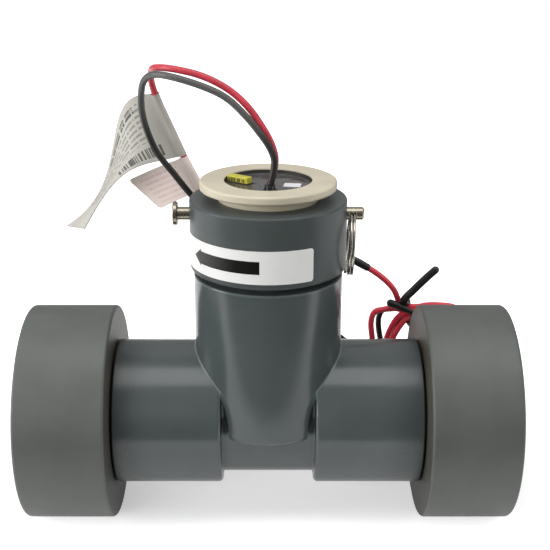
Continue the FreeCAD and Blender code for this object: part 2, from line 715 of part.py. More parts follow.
def route_edges(route):
    """Return the edges of runs joined by tangent arcs, the arcs by route point, and their radii."""
    points = [Vector(*place) for place in route]
    edges, arcs, radii = [], {}, []
    here = points[0]
    for number in range(1, len(points) - 1):
        back = points[number - 1] - points[number]
        ahead = points[number + 1] - points[number]
        cut = ARC_SHARE * min(back.Length, ahead.Length)
        back.normalize()
        ahead.normalize()
        half_turn = (math.pi - back.getAngle(ahead)) / 2
        radius = cut / math.tan(half_turn)
        enter, leave = points[number] + back * cut, points[number] + ahead * cut
        inward = (back + ahead).normalize()
        crown = points[number] + inward * (radius / math.cos(half_turn) - radius)
        arcs[number] = Part.Arc(enter, crown, leave).toShape()
        edges += [Part.LineSegment(here, enter).toShape(), arcs[number]]
        radii.append(radius)
        here = leave
    edges.append(Part.LineSegment(here, points[-1]).toShape())
    return edges, arcs, radii


def tube_along(edges, radius):
    """Return a round tube along edges, after comparing its volume with its section times its length."""
    path = Part.Wire(edges)
    start = path.OrderedEdges[0]
    ring = Part.Circle(start.valueAt(start.FirstParameter), start.tangentAt(start.FirstParameter), radius)
    tube = path.makePipeShell([Part.Wire(ring.toShape())], True, False)
    wanted = math.pi * radius**2 * path.Length
    if abs(tube.Volume - wanted) > 0.01 * wanted:
        raise RuntimeError(f"a tube has {tube.Volume:.1f} of {wanted:.1f} cubic millimetres")
    return tube


def keep_shape(name, shape):
    """Return a document object that holds a shape, raised from the run axis to its height."""
    piece = doc.addObject("Part::Feature", name)
    piece.Shape = shape
    piece.Placement = Placement(Vector(0, 0, AXIS_HEIGHT.value), Rotation())
    return piece


def make_lead(name, route):
    edges, _, radii = route_edges(route)
    tube = tube_along(edges, S.lead_diameter.value / 2)
    length = sum(edge.Length for edge in edges)
    print(f"{name}: {length:.0f} mm long, least bend radius {min(radii):.1f} mm")
    return keep_shape(name, tube)


def make_sleeve():
    arc = route_edges(RED_ROUTE)[1][RED_ROUTE.index(SLEEVE_PLACE)]
    bore = S.lead_diameter.value / 2 + S.sleeve_clearance.value
    sleeve = tube_along([arc], bore + S.sleeve_wall.value)
    return keep_shape("splice_sleeve", sleeve.cut(tube_along([arc], bore)))


# Hank: two drooping lobes that stand on the floor, gathered in a round waist that the tie goes round
LEFT_LOBE = [(55.0, -54.0), (79.0, -54.0), (77.0, 10.0), (72.0, 38.5), (63.0, 39.0), (56.5, 28.0)]
RIGHT_LOBE = [
    (92.0, -54.0), (122.0, -54.0), (121.0, 12.0), (110.0, 37.0), (84.0, 39.0), (82.0, 31.0), (91.0, 12.0),
]
WAIST_START = 68.0
WAIST_END = 88.0
WAIST_HEIGHT = 31.0
TIE_X = 79.5
TIE_LONG_TAIL = [(78.5, 55.2, 36.3), (74.5, 52.0, 41.0), (80.0, 51.0, 48.6), (92.0, 50.5, 58.8)]
TIE_SHORT_TAIL = [(78.5, 55.0, 36.0), (72.0, 52.0, 38.2), (65.5, 51.5, 39.3)]


def make_hank():
    body = new_body("lead_hank")
    for name, lobe in (("left_lobe", LEFT_LOBE), ("right_lobe", RIGHT_LOBE)):
        if name == "right_lobe":
            radius, start = S.hank_waist_od / 2, as_length(WAIST_START)
            ring = disc(body, "waist_ring", "YZ_Plane", radius, S.hank_back, WAIST_HEIGHT, start)
            padded(body, "waist", ring, WAIST_END - WAIST_START, "One side")
        profile = outline(body, name + "_profile", "XZ_Plane", lobe, -S.hank_back)
        padded(body, name, profile, S.hank_thickness)
    return body


def make_tie():
    radius = S.tie_width.value / 2
    ring = Part.makeTorus(S.hank_waist_od.value / 2 + radius, radius,
                          Vector(TIE_X, S.hank_back.value, WAIST_HEIGHT), Vector(1, 0, 0))
    tails = [tube_along(route_edges(route)[0], radius) for route in (TIE_LONG_TAIL, TIE_SHORT_TAIL)]
    return keep_shape("twist_tie", ring.fuse(tails))


# Tags: each is a paper flag that goes round the red lead and is stuck to itself
LARGE_TAG_TUBE = [(-56.4, 34.1, 157.6), (-43.6, 38.5, 125.2)]
LARGE_TAG_TOP = [(-59.1, 33.4, 157.0), (-87.5, 42.0, 157.0), (-69.5, 51.0, 107.0), (-106.5, 43.0, 86.0)]
LARGE_TAG_FOOT = [(-46.5, 38.0, 124.0), (-65.0, 25.0, 122.0), (-70.5, 7.0, 130.5), (-91.0, 9.0, 94.5)]
SMALL_TAG_TUBE = [(-43.2, 38.6, 124.0), (-34.4, 41.7, 105.8)]
SMALL_TAG_TOP = [(-45.9, 38.1, 122.9), (-54.5, 37.5, 120.1), (-63.1, 36.8, 116.4), (-71.7, 36.0, 112.4)]
SMALL_TAG_FOOT = [(-37.0, 41.1, 104.8), (-43.0, 36.5, 103.3), (-49.0, 31.8, 101.6), (-55.1, 27.0, 100.0)]


def make_tag(name, tube, top, foot):
    start, end = (Vector(*place) for place in tube)
    bore, thick = S.tag_tube_bore.value / 2, S.tag_thickness.value
    way = end - start
    roll = Part.makeCylinder(bore + thick, way.Length, start, way)
    roll = roll.cut(Part.makeCylinder(bore, way.Length, start, way))
    edges = []
    for poles in (top, foot):
        curve = Part.BezierCurve()
        curve.setPoles([Vector(*place) for place in poles])
        edges.append(curve.toShape())
    flag = Part.makeRuledSurface(*edges).makeOffsetShape(thick, 0.01, fill=True)
    if flag.Volume < 0:
        flag.reverse()
    return keep_shape(name, roll.fuse(flag))


board, coil, boot = make_board(), make_coil(), make_boot()
SUBPARTS = [
    make_tee(),
    make_adapter("inlet_adapter", 0.0),
    make_adapter("outlet_adapter", 180.0),
    make_collar(),
    make_insert(),
    make_seal("upper_o_ring", UPPER_SEAL),
    make_seal("lower_o_ring", LOWER_SEAL),
    make_impeller(),
    make_targets(),
    make_bush(),
    make_shaft(),
    make_pin(),
    make_ring(),
    board,
    coil,
    boot,
    make_potting(board, coil, boot),
    make_label(),
    make_capacitor(),
    make_white_sticker(),
    make_lead("red_lead", RED_ROUTE),
    make_lead("black_lead", BLACK_ROUTE),
    make_sleeve(),
    make_hank(),
    make_tie(),
    make_tag("large_tag", LARGE_TAG_TUBE, LARGE_TAG_TOP, LARGE_TAG_FOOT),
    make_tag("small_tag", SMALL_TAG_TUBE, SMALL_TAG_TOP, SMALL_TAG_FOOT),
]
doc.recompute()

for thing in doc.Objects:
    if "Invalid" in thing.State or "Error" in thing.State:
        raise RuntimeError(f"{thing.Label} did not build")
for piece in SUBPARTS:
    if piece.Shape.isNull() or not piece.Shape.isValid() or not piece.Shape.Solids:
        raise RuntimeError(f"{piece.Label} has no valid solid")

os.makedirs("parts", exist_ok=True)
for piece in SUBPARTS:
    piece.Shape.exportStep(os.path.join("parts", f"{piece.Label}.step"))
    print(piece.Label, len(piece.Shape.Solids), round(piece.Shape.Volume, 1))
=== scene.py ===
"""Irrigation flow sensor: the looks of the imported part, in metres and in the part's own frame.

The sizes written here are in millimetres where nothing else is said.
"""

import logging
import math
from dataclasses import dataclass
from enum import Enum
from typing import Any, Mapping, Sequence

import bmesh
import bpy
import numpy as np
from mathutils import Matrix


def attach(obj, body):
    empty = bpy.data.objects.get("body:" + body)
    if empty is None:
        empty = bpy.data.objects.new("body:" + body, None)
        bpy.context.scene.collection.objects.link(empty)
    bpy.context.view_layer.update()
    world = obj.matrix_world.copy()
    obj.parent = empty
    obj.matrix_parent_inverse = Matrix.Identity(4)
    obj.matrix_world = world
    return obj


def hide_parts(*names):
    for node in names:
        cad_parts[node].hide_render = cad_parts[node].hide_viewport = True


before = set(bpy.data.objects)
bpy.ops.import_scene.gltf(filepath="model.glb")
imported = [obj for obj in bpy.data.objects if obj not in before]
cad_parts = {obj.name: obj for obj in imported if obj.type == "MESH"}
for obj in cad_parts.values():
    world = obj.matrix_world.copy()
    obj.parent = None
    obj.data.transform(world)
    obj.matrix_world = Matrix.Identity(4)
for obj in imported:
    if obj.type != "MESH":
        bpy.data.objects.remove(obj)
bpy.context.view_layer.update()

LOG = logging.getLogger("flow_sensor")
MM = 0.001
AXIS_HEIGHT = 54.0
HOUSING = "housing"
WELD = 1e-7

Array = np.ndarray
Rgb = tuple[float, float, float]
Point = tuple[float, float, float]
Pair = tuple[float, float]
Passes = tuple[int, int]


@dataclass(frozen=True)
class Signal:
    """One output of a shader node. Arithmetic on it adds Math nodes."""

    graph: "Graph"
    socket: bpy.types.NodeSocket

    def math(self, operation: str, first: Any, second: Any = 0.0) -> "Signal":
        """Add a Math node.

        Args:
            operation: The node's operation.
            first: A signal or a number.
            second: A signal or a number.

        Returns:
            The node's result.
        """
        return self.graph.add("ShaderNodeMath", {"operation": operation}, {0: first, 1: second})

    def __add__(self, other: Any) -> "Signal":
        """Return self + other."""
        return self.math("ADD", self, other)

    def __radd__(self, other: Any) -> "Signal":
        """Return other + self."""
        return self.math("ADD", other, self)

    def __sub__(self, other: Any) -> "Signal":
        """Return self - other."""
        return self.math("SUBTRACT", self, other)

    def __rsub__(self, other: Any) -> "Signal":
        """Return other - self."""
        return self.math("SUBTRACT", other, self)

    def __mul__(self, other: Any) -> "Signal":
        """Return self * other."""
        return self.math("MULTIPLY", self, other)

    def __rmul__(self, other: Any) -> "Signal":
        """Return other * self."""
        return self.math("MULTIPLY", other, self)

    def __pow__(self, other: Any) -> "Signal":
        """Return self to the power of other."""
        return self.math("POWER", self, other)

    def __gt__(self, other: Any) -> "Signal":
        """Return 1 where self is over other, else 0."""
        return self.math("GREATER_THAN", self, other)

    def __lt__(self, other: Any) -> "Signal":
        """Return 1 where self is under other, else 0."""
        return self.math("LESS_THAN", self, other)

    def abs(self) -> "Signal":
        """Return the signal without its sign."""
        return self.math("ABSOLUTE", self)

    def fract(self) -> "Signal":
        """Return what is left of the signal above its whole part."""
        return self.math("FRACT", self)

    def floor(self) -> "Signal":
        """Return the signal's whole part."""
        return self.math("FLOOR", self)

    def over(self, other: Any) -> "Signal":
        """Return the greater of self and other."""
        return self.math("MAXIMUM", self, other)

    def rise(self, low: float, high: float) -> "Signal":
        """Return a smooth step.

        Args:
            low: Where the step starts, at 0.
            high: Where it ends, at 1.

        Returns:
            A signal from 0 to 1.
        """
        limits = {"Value": self, "From Min": low, "From Max": high}
        return self.graph.add("ShaderNodeMapRange", {"interpolation_type": "SMOOTHSTEP"}, limits)

    def fall(self, low: float, high: float) -> "Signal":
        """Return a smooth step down, from 1 at the low value to 0 at the high one."""
        return 1.0 - self.rise(low, high)

    def within(self, low: float, high: float) -> "Signal":
        """Return 1 between two values and 0 outside them."""
        return (self > low) * (self < high)


@dataclass(frozen=True)
class Graph:
    """A node tree that a finish is drawn in."""

    tree: bpy.types.NodeTree

    def add(
        self,
        kind: str,
        settings: Mapping[str, Any] | None = None,
        inputs: Mapping[int | str, Any] | None = None,
        output: int | str = 0,
    ) -> Signal | None:
        """Add one node.

        Args:
            kind: The node's type.
            settings: Its properties, set first.
            inputs: A value or a signal for each socket, by name or number.
            output: The output to return.

        Returns:
            The chosen output, or None for a node that has none.
        """
        node = self.tree.nodes.new(kind)
        for key, value in (settings or {}).items():
            setattr(node, key, value)
        for key, value in (inputs or {}).items():
            if isinstance(value, Signal):
                self.tree.links.new(value.socket, node.inputs[key])
            else:
                node.inputs[key].default_value = value
        return Signal(self, node.outputs[output]) if len(node.outputs) else None

    def millimetres(self) -> Signal:
        """Return the object's own coordinates in millimetres."""
        here = self.add("ShaderNodeTexCoord", output="Object")
        return self.add("ShaderNodeVectorMath", {"operation": "SCALE"}, {0: here, "Scale": 1 / MM})

    def uv(self) -> Signal:
        """Return the piece's own print coordinates."""
        return self.add("ShaderNodeUVMap", {"uv_map": "print"})

    def split(self, vector: Signal) -> tuple[Signal, Signal, Signal]:
        """Take a vector apart.

        Args:
            vector: The vector.

        Returns:
            Its three parts.
        """
        first = self.add("ShaderNodeSeparateXYZ", None, {0: vector})
        parts = first.socket.node.outputs
        return first, Signal(self, parts[1]), Signal(self, parts[2])

    def stretch(self, vector: Signal, by: Point) -> Signal:
        """Return a vector with each part multiplied by a number."""
        return self.add("ShaderNodeVectorMath", {"operation": "MULTIPLY"}, {0: vector, 1: by})

    def noise(self, vector: Signal, scale: float, detail: float = 2.0, rough: float = 0.5) -> Signal:
        """Return smooth noise.

        Args:
            vector: Where it is read.
            scale: Its features per unit of the vector.
            detail: How many finer layers it has.
            rough: How strong those layers are.

        Returns:
            A signal around 0.5.
        """
        return self.add(
            "ShaderNodeTexNoise",
            None,
            {"Vector": vector, "Scale": scale, "Detail": detail, "Roughness": rough},
        )

    def line_noise(self, along: Signal, scale: float, detail: float = 3.0) -> Signal:
        """Return noise that changes with one number only.

        Args:
            along: The number.
            scale: Its features per unit of the number.
            detail: How many finer layers it has.

        Returns:
            A signal around 0.5.
        """
        return self.add(
            "ShaderNodeTexNoise", {"noise_dimensions": "1D"}, {"W": along, "Scale": scale, "Detail": detail}
        )

    def specks(self, vector: Signal, scale: float, size: float) -> Signal:
        """Return 1 inside small scattered spots and 0 outside."""
        return self.add("ShaderNodeTexVoronoi", None, {"Vector": vector, "Scale": scale}) < size

    def mix(self, factor: Any, first: Any, second: Any) -> Signal:
        """Return a colour between two.

        Args:
            factor: 0 for the first, 1 for the second.
            first: A colour or a signal.
            second: A colour or a signal.

        Returns:
            The mixed colour.
        """
        colours = [value if isinstance(value, Signal) else (*value, 1.0) for value in (first, second)]
        return self.add(
            "ShaderNodeMix", {"data_type": "RGBA"}, {0: factor, 6: colours[0], 7: colours[1]}, output=2
        )

    def bump(self, height: Signal, depth_mm: float) -> Signal:
        """Return a normal bent by a height.

        Args:
            height: The height, from 0 to 1.
            depth_mm: What a height of 1 stands for.

        Returns:
            The bent normal.
        """
        return self.add("ShaderNodeBump", None, {"Distance": depth_mm * MM, "Height": height})

    def surface(self, **sockets: Any) -> None:
        """Close the tree with one principled surface, its sockets named with _ for a space."""
        named = {key.replace("_", " "): value for key, value in sockets.items()}
        if isinstance(named.get("Base Color"), tuple):
            named["Base Color"] = (*named["Base Color"], 1.0)
        shader = self.add("ShaderNodeBsdfPrincipled", None, named)
        self.add("ShaderNodeOutputMaterial", None, {"Surface": shader})


def toned(colour: Rgb, by: float) -> Rgb:
    """Return a colour multiplied by a number."""
    return tuple(part * by for part in colour)


@dataclass(frozen=True)
class CasePlace:
    """Where a small case stands on the resin: its middle, half sizes and turn."""

    middle: Pair = (-13.8, 4.1)
    half: Pair = (6.2, 2.1)
    turn_deg: float = -36.0

    def split(self, x: Any, y: Any) -> tuple[Any, Any]:
        """Tell where a place is, seen from the case.

        Args:
            x: The place across the part, a number, an array or a signal.
            y: The place towards the back, of the same kind.

        Returns:
            How far the place is from the case's middle along the case and across it.
        """
        turn = math.radians(self.turn_deg)
        east, north = x - self.middle[0], y - self.middle[1]
        along = east * math.cos(turn) + north * math.sin(turn)
        return along, north * math.cos(turn) - east * math.sin(turn)


class TurnAxis(Enum):
    """The axis that a turned piece was spun about, as the two other axes and itself."""

    RUN = (1, 2, 0)
    BRANCH = (0, 1, 2)


class PaleAxis(Enum):
    """The coordinate that a lead's paler stretch goes by."""

    DEPTH = 1
    HEIGHT = 2


class TagPrint(Enum):
    """What is printed on a paper tag."""

    BARS = "bars"
    RULES = "rules"


@dataclass(frozen=True)
class Finish:
    """A surface's colour and roughness, drawn as a node tree by each kind of finish."""

    name: str
    colour: Rgb
    roughness: float

    def material(self) -> bpy.types.Material:
        """Make the finish's material, once.

        Returns:
            The material.
        """
        made = bpy.data.materials.get(self.name)
        if made is None:
            made = bpy.data.materials.new(self.name)
            made.use_nodes = True
            made.node_tree.nodes.clear()
            self.paint(Graph(made.node_tree))
        return made

    def paint(self, graph: Graph) -> None:
        """Draw the finish in a node tree."""
        raise NotImplementedError

    def shade(self, graph: Graph, place: Signal, colour: Signal) -> Signal:
        """Return the colour with what a kind of piece adds to it at some places."""
        return colour

    def wear(self, graph: Graph, place: Signal, roughness: Signal) -> Signal:
        """Return the roughness with what a kind of piece adds to it at some places."""
        return roughness

    def dress(self, *pieces: bpy.types.Object) -> None:
        """Give the finish to some pieces in place of what they have.

        Args:
            pieces: The pieces to dress.
        """
        for piece in pieces:
            piece.data.materials.clear()
            piece.data.materials.append(self.material())


@dataclass(frozen=True)
class MouldedPlastic(Finish):
    """Moulded plastic: faint flow shading, a fine skin, and a few rubbed places."""

    skin_mm: float = 0.012
    rub: float = 0.1
    cloud_scale: float = 0.035
    skin_scale: float = 1.4
    scuff_scale: float = 0.55
    scuff_way: Point = (0.12, 0.9, 0.5)
    tints: Pair = (0.93, 1.08)
    scuff_tint: float = 1.6
    gloss: float = 1.52

    def paint(self, graph: Graph) -> None:
        """Draw the plastic: cloud and scuffs in colour, rubs in roughness, skin in bump.

        Args:
            graph: The tree to draw in.
        """
        place = graph.millimetres()
        cloud = graph.noise(place, self.cloud_scale, 3.0)
        skin = graph.noise(place, self.skin_scale)
        streaks = graph.stretch(place, self.scuff_way)
        scuff = graph.noise(streaks, self.scuff_scale, 5.0, 0.7).rise(0.62, 0.78)
        tint = graph.mix(cloud.rise(0.3, 0.72), *(toned(self.colour, by) for by in self.tints))
        colour = graph.mix(scuff * 0.1, tint, toned(self.colour, self.scuff_tint))
        roughness = self.roughness - 0.04 + cloud * 0.08 + scuff * self.rub
        graph.surface(
            Base_Color=self.shade(graph, place, colour),
            Roughness=self.wear(graph, place, roughness),
            Normal=graph.bump(skin, self.skin_mm),
            IOR=self.gloss,
        )


@dataclass(frozen=True)
class TeePlastic(MouldedPlastic):
    """The tee's plastic, with painted highlights on its seam and edges and painted shade in its crevices
    and against the adapters.
    """

    hub_end: float = 23.1
    hub_radius: float = 36.45
    hub_skin: Pair = (34.0, 35.0)
    # Height of the painted highlight on the barrel's top rim, and the foot of the painted highlight along
    # the seam.
    rim: float = 129.5
    seam_foot: Pair = (21.0, 25.0)
    flank_foot: float = 3.0
    flank_bow: float = 0.0123
    flank_reach: float = 19.1
    # Where the painted shade in the crevice lies: its depth, its foot and its top.
    crevice_depth: Pair = (27.0, 28.0)
    crevice_foot: Pair = (1.0, 3.5)
    crevice_top: Pair = (20.5, 22.0)
    # Where the painted shade at each adapter lies, and where it fades out over the hub.
    joint: Pair = (74.6, 75.8)
    near_joint: Pair = (56.0, 75.0)
    dull: Pair = (50.0, 75.0)
    bore: Pair = (26.0, 27.0)
    # Colours of the painted highlights and of the painted shade, as multiples of the plain colour.
    painted_shine_tint: float = 3.0
    painted_shade_tint: float = 0.12

    def shade(self, graph: Graph, place: Signal, colour: Signal) -> Signal:
        """Paint highlights on the seam of run and branch, where |x| is the height over the axis, and on the
        edges, and paint shade in the crevices and at the adapters.

        A crevice lies between the hub's end and the branch's flank, a parabola over the height.

        Args:
            graph: The tree to draw in.
            place: Where on the tee.
            colour: The plain colour.

        Returns:
            The colour with all of them.
        """
        x, y, z = graph.split(place)
        aside, up = x.abs(), z - AXIS_HEIGHT
        away = (y * y + up * up) ** 0.5
        # Painted highlights: along the seam of run and branch, on the barrel's top rim and on the hub's end
        # edge.
        seam = (aside - up).abs().fall(0.2, 0.9) * up.rise(*self.seam_foot)
        rim = (z - self.rim).abs().fall(0.2, 0.8)
        skin = away.rise(*self.hub_skin) * away.fall(self.hub_radius + 0.1, self.hub_radius + 0.5)
        edge = (aside - self.hub_end - 0.5).abs().fall(0.2, 0.6) * skin * up.rise(0.0, 6.0)
        # Painted shade in the crevice between the hub's end and the branch's flank.
        over = up - self.flank_foot
        flank = over * over * self.flank_bow + self.flank_reach
        lens = (aside - flank).rise(-0.3, 0.6) * aside.fall(self.hub_end, self.hub_end + 0.3)
        crevice = lens * away.rise(*self.crevice_depth)
        crevice = crevice * up.rise(*self.crevice_foot) * up.fall(*self.crevice_top)
        shine = seam * 0.5 + rim * 0.2 + edge * 0.3
        # Painted shade in the gap at each adapter, fading out over the hub near it.
        joint = (aside.rise(*self.joint) * 0.92).over(aside.rise(*self.near_joint) * 0.42)
        dark = (crevice * 0.85).over(joint)
        lit = graph.mix(shine, colour, toned(self.colour, self.painted_shine_tint))
        return graph.mix(dark, lit, toned(self.colour, self.painted_shade_tint))

    def wear(self, graph: Graph, place: Signal, roughness: Signal) -> Signal:
        """Dull the bore and, a little, the skin near the adapters.

        Args:
            graph: The tree to draw in.
            place: Where on the tee.
            roughness: The plain roughness.

        Returns:
            The roughness with both.
        """
        x, y, z = graph.split(place)
        up = z - AXIS_HEIGHT
        bore = ((y * y + up * up) ** 0.5).fall(*self.bore)
        return roughness + bore * 0.4 + x.abs().rise(*self.dull) * 0.1


@dataclass(frozen=True)
class TurnedPlastic(Finish):
    """Plastic off a lathe: fine tool marks round its axis, on the outside and on the end faces alike."""

    axis: TurnAxis = TurnAxis.RUN
    mark_mm: float = 0.02
    band: float = 0.04
    cloud: float = 0.07
    rub: float = 0.08
    gloss: float = 1.52
    fine_scale: float = 2.6
    broad_scale: float = 0.22
    cloud_scale: float = 0.045
    scuff_scale: float = 0.16
    mark_tint: float = 1.4

    def paint(self, graph: Graph) -> None:
        """Draw the marks by distance along the axis plus distance from it.

        Args:
            graph: The tree to draw in.
        """
        place = graph.millimetres()
        parts = graph.split(place)
        first, second, along = (parts[number] for number in self.axis.value)
        if self.axis is TurnAxis.RUN:
            second = second - AXIS_HEIGHT
        track = along + (first * first + second * second) ** 0.5
        fine = graph.line_noise(track, self.fine_scale, 4.0)
        broad = graph.line_noise(track, self.broad_scale, 2.0)
        cloud = graph.noise(place, self.cloud_scale, 3.0)
        scuff = graph.noise(place, self.scuff_scale, 6.0, 0.72).rise(0.6, 0.76)
        pale, dark = toned(self.colour, 1.0 + self.band), toned(self.colour, 1.0 - self.band)
        tint = graph.mix(broad.rise(0.25, 0.75), dark, pale)
        tint = graph.mix(cloud.rise(0.35, 0.7), tint, toned(self.colour, 1.0 - self.cloud))
        marks = scuff * 0.06 + fine.rise(0.56, 0.8) * self.band
        colour = graph.mix(marks, tint, toned(self.colour, self.mark_tint))
        graph.surface(
            Base_Color=self.shade(graph, place, colour),
            Roughness=self.roughness + (fine - 0.5) * 0.08 + scuff * self.rub,
            Normal=graph.bump(fine, self.mark_mm),
            IOR=self.gloss,
        )


@dataclass(frozen=True)
class AdapterPlastic(TurnedPlastic):
    """An adapter's plastic, with painted shade over its lower half and on its inner face, where it is
    darkest at the bottom and warmer at the top.
    """

    # Where the inner face starts, the painted shade's two colours, and the heights over which it runs on
    # the inner face and on the lower half.
    face: Pair = (77.1, 77.5)
    painted_shade: tuple[Rgb, Rgb] = ((0.03, 0.031, 0.029), (0.074, 0.07, 0.054))
    painted_shade_heights: Pair = (-50.0, 45.0)
    lower: Pair = (2.0, 26.0)

    def shade(self, graph: Graph, place: Signal, colour: Signal) -> Signal:
        """Paint shade by height: light over the lower half of the outside, and deeper on the inner face,
        darkest at the bottom.

        Args:
            graph: The tree to draw in.
            place: Where on the adapter.
            colour: The plain colour.

        Returns:
            The colour with both.
        """
        x, _, z = graph.split(place)
        up = z - AXIS_HEIGHT
        # Painted shade over the lower half of the outside.
        skin = graph.mix(up.fall(*self.lower) * 0.15, colour, self.painted_shade[0])
        # Painted shade on the inner face: darkest at the bottom, warmer at the top.
        painted_shade = graph.mix(up.rise(*self.painted_shade_heights), *self.painted_shade)
        return graph.mix(x.abs().rise(*self.face), painted_shade, skin)


@dataclass(frozen=True)
class CastResin(Finish):
    """Cast resin: glossy, with slow ripples, pin bubbles and a little dust, and darker and rougher at the
    cup's wall and round the case.
    """

    case: CasePlace = CasePlace()
    skin: Pair = (19.9, 20.7)
    climb_colour: Rgb = (0.012, 0.01, 0.008)
    dust_colour: Rgb = (0.42, 0.4, 0.38)
    ripple_scale: float = 0.16
    ripple_mm: float = 0.35

    def paint(self, graph: Graph) -> None:
        """Draw ripples and bubbles as bump, and dust and the darker ring at the wall and round the case as
        colour and roughness.

        Args:
            graph: The tree to draw in.
        """
        place = graph.millimetres()
        ripple = graph.noise(place, self.ripple_scale, 1.0)
        bubbles = graph.specks(place, 0.42, 0.16)
        dust = graph.specks(graph.stretch(place, (1.0, 1.0, 0.3)), 1.5, 0.12)
        haze = graph.noise(place, 0.3, 4.0).rise(0.45, 0.75)
        x, y, _ = graph.split(place)
        along, aside = self.case.split(x, y)
        gap = (along.abs() - self.case.half[0]).over(aside.abs() - self.case.half[1])
        # Darker and rougher near the cup's wall and round the case.
        skin = ((x * x + y * y) ** 0.5).rise(*self.skin).over(gap.fall(0.3, 1.5))
        colour = graph.mix((dust * 0.35 + haze * 0.12) * (1.0 - skin), self.colour, self.dust_colour)
        graph.surface(
            Base_Color=graph.mix(skin, colour, self.climb_colour),
            Roughness=self.roughness + haze * 0.1 + dust * 0.3 + skin * 0.5,
            Normal=graph.bump(ripple * 0.8 - bubbles * 0.25, self.ripple_mm),
            IOR=1.53,
        )


@dataclass(frozen=True)
class PlatedMetal(Finish):
    """Plated metal: drawn or turned marks, and a tarnish that gathers in spots."""

    grain: Point = (6.0, 0.6, 0.6)
    tarnish: Rgb = (0.3, 0.24, 0.15)
    spot_scale: float = 0.5
    grain_mm: float = 0.008

    def paint(self, graph: Graph) -> None:
        """Draw stretched grain as roughness and bump, and tarnish as colour.

        Args:
            graph: The tree to draw in.
        """
        place = graph.millimetres()
        grain = graph.noise(graph.stretch(place, self.grain), 1.0, 4.0)
        spots = graph.noise(place, self.spot_scale, 4.0, 0.65).rise(0.52, 0.74)
        graph.surface(
            Base_Color=graph.mix(spots * 0.45, self.colour, self.tarnish),
            Metallic=1.0,
            Roughness=self.roughness + (grain - 0.5) * 0.16 + spots * 0.12,
            Normal=graph.bump(grain, self.grain_mm),
        )


@dataclass(frozen=True)
class Insulation(Finish):
    """Extruded wire covering: even colour with a slight bloom and finger marks."""

    bloom_scale: float = 0.09
    fine_scale: float = 2.2
    fine_mm: float = 0.006
    tints: Pair = (0.86, 1.12)

    def paint(self, graph: Graph) -> None:
        """Draw bloom as colour and finger marks as roughness.

        Args:
            graph: The tree to draw in.
        """
        place = graph.millimetres()
        bloom = graph.noise(place, self.bloom_scale, 3.0)
        fine = graph.noise(place, self.fine_scale)
        colour = graph.mix(bloom.rise(0.35, 0.7), *(toned(self.colour, by) for by in self.tints))
        graph.surface(
            Base_Color=self.shade(graph, place, colour),
            Roughness=self.roughness + (bloom - 0.5) * 0.2,
            Normal=graph.bump(fine, self.fine_mm),
            IOR=1.5,
        )


@dataclass(frozen=True)
class PaleStretchInsulation(Insulation):
    """A lead's covering, paler past some depth or height; on the red lead this paler stretch is painted
    light.
    """

    pale: Rgb = (0.082, 0.085, 0.08)
    past: PaleAxis = PaleAxis.HEIGHT
    span: Pair = (190.0, 216.0)

    def shade(self, graph: Graph, place: Signal, colour: Signal) -> Signal:
        """Draw the paler stretch by its one coordinate."""
        return graph.mix(graph.split(place)[self.past.value].rise(*self.span), colour, self.pale)


@dataclass(frozen=True)
class Film(Finish):
    """Bare film and paper stickers: nearly even, with faint handling marks."""

    mark_scale: float = 0.12
    mark_tint: float = 0.82
    wrinkle_scale: float = 0.25
    wrinkle_mm: float = 0.05

    def paint(self, graph: Graph) -> None:
        """Draw marks as colour and roughness, and a faint wrinkle as bump.

        Args:
            graph: The tree to draw in.
        """
        place = graph.millimetres()
        marks = graph.noise(place, self.mark_scale, 4.0, 0.6).rise(0.5, 0.8)
        wrinkle = graph.noise(place, self.wrinkle_scale)
        graph.surface(
            Base_Color=graph.mix(marks * 0.25, self.colour, toned(self.colour, self.mark_tint)),
            Roughness=self.roughness + marks * 0.12,
            Normal=graph.bump(wrinkle, self.wrinkle_mm),
        )


@dataclass(frozen=True)
class ArrowInk(Finish):
    """Black ink on the label, with a painted sheen that makes it paler towards the arrow's head."""

    painted_sheen: Rgb = (0.085, 0.087, 0.083)
    span: Pair = (-36.0, -12.0)
    grain_scale: float = 1.2

    def paint(self, graph: Graph) -> None:
        """Draw the painted sheen by distance across the part, and the print's grain in roughness.

        Args:
            graph: The tree to draw in.
        """
        place = graph.millimetres()
        x, _, _ = graph.split(place)
        grain = graph.noise(place, self.grain_scale, 3.0)
        # Painted sheen: the ink is paler towards the arrow's head.
        colour = graph.mix((x + grain * 3.0).rise(*self.span), self.painted_sheen, self.colour)
        graph.surface(Base_Color=colour, Roughness=self.roughness + grain * 0.15, IOR=1.25)


@dataclass(frozen=True)
class MarkedCase(Finish):
    """A small moulded case with rows of plain dark marks on its long sides."""

    case: CasePlace = CasePlace()
    level: float = 175.3
    mark_half: float = 0.85
    mark_inset: float = 1.0
    mark_scale: float = 1.1
    ink: Rgb = (0.04, 0.04, 0.03)
    cloud_scale: float = 0.3
    cloud_mm: float = 0.02

    def paint(self, graph: Graph) -> None:
        """Draw the marks by distance along the case, on the long sides and between two heights.

        Args:
            graph: The tree to draw in.
        """
        place = graph.millimetres()
        x, y, z = graph.split(place)
        along, aside = self.case.split(x, y)
        inside = along.abs() < self.case.half[0] - self.mark_inset
        inside = inside * ((z - self.level).abs() < self.mark_half)
        on_side = aside.abs() > self.case.half[1] - 0.1
        marks = (graph.line_noise(along, self.mark_scale, 1.0) > 0.47) * inside * on_side
        cloud = graph.noise(place, self.cloud_scale, 3.0)
        colour = graph.mix(cloud.rise(0.3, 0.7), toned(self.colour, 0.9), self.colour)
        graph.surface(
            Base_Color=graph.mix(marks * 0.85, colour, self.ink),
            Roughness=self.roughness + cloud * 0.08,
            Normal=graph.bump(cloud, self.cloud_mm),
            IOR=1.5,
        )


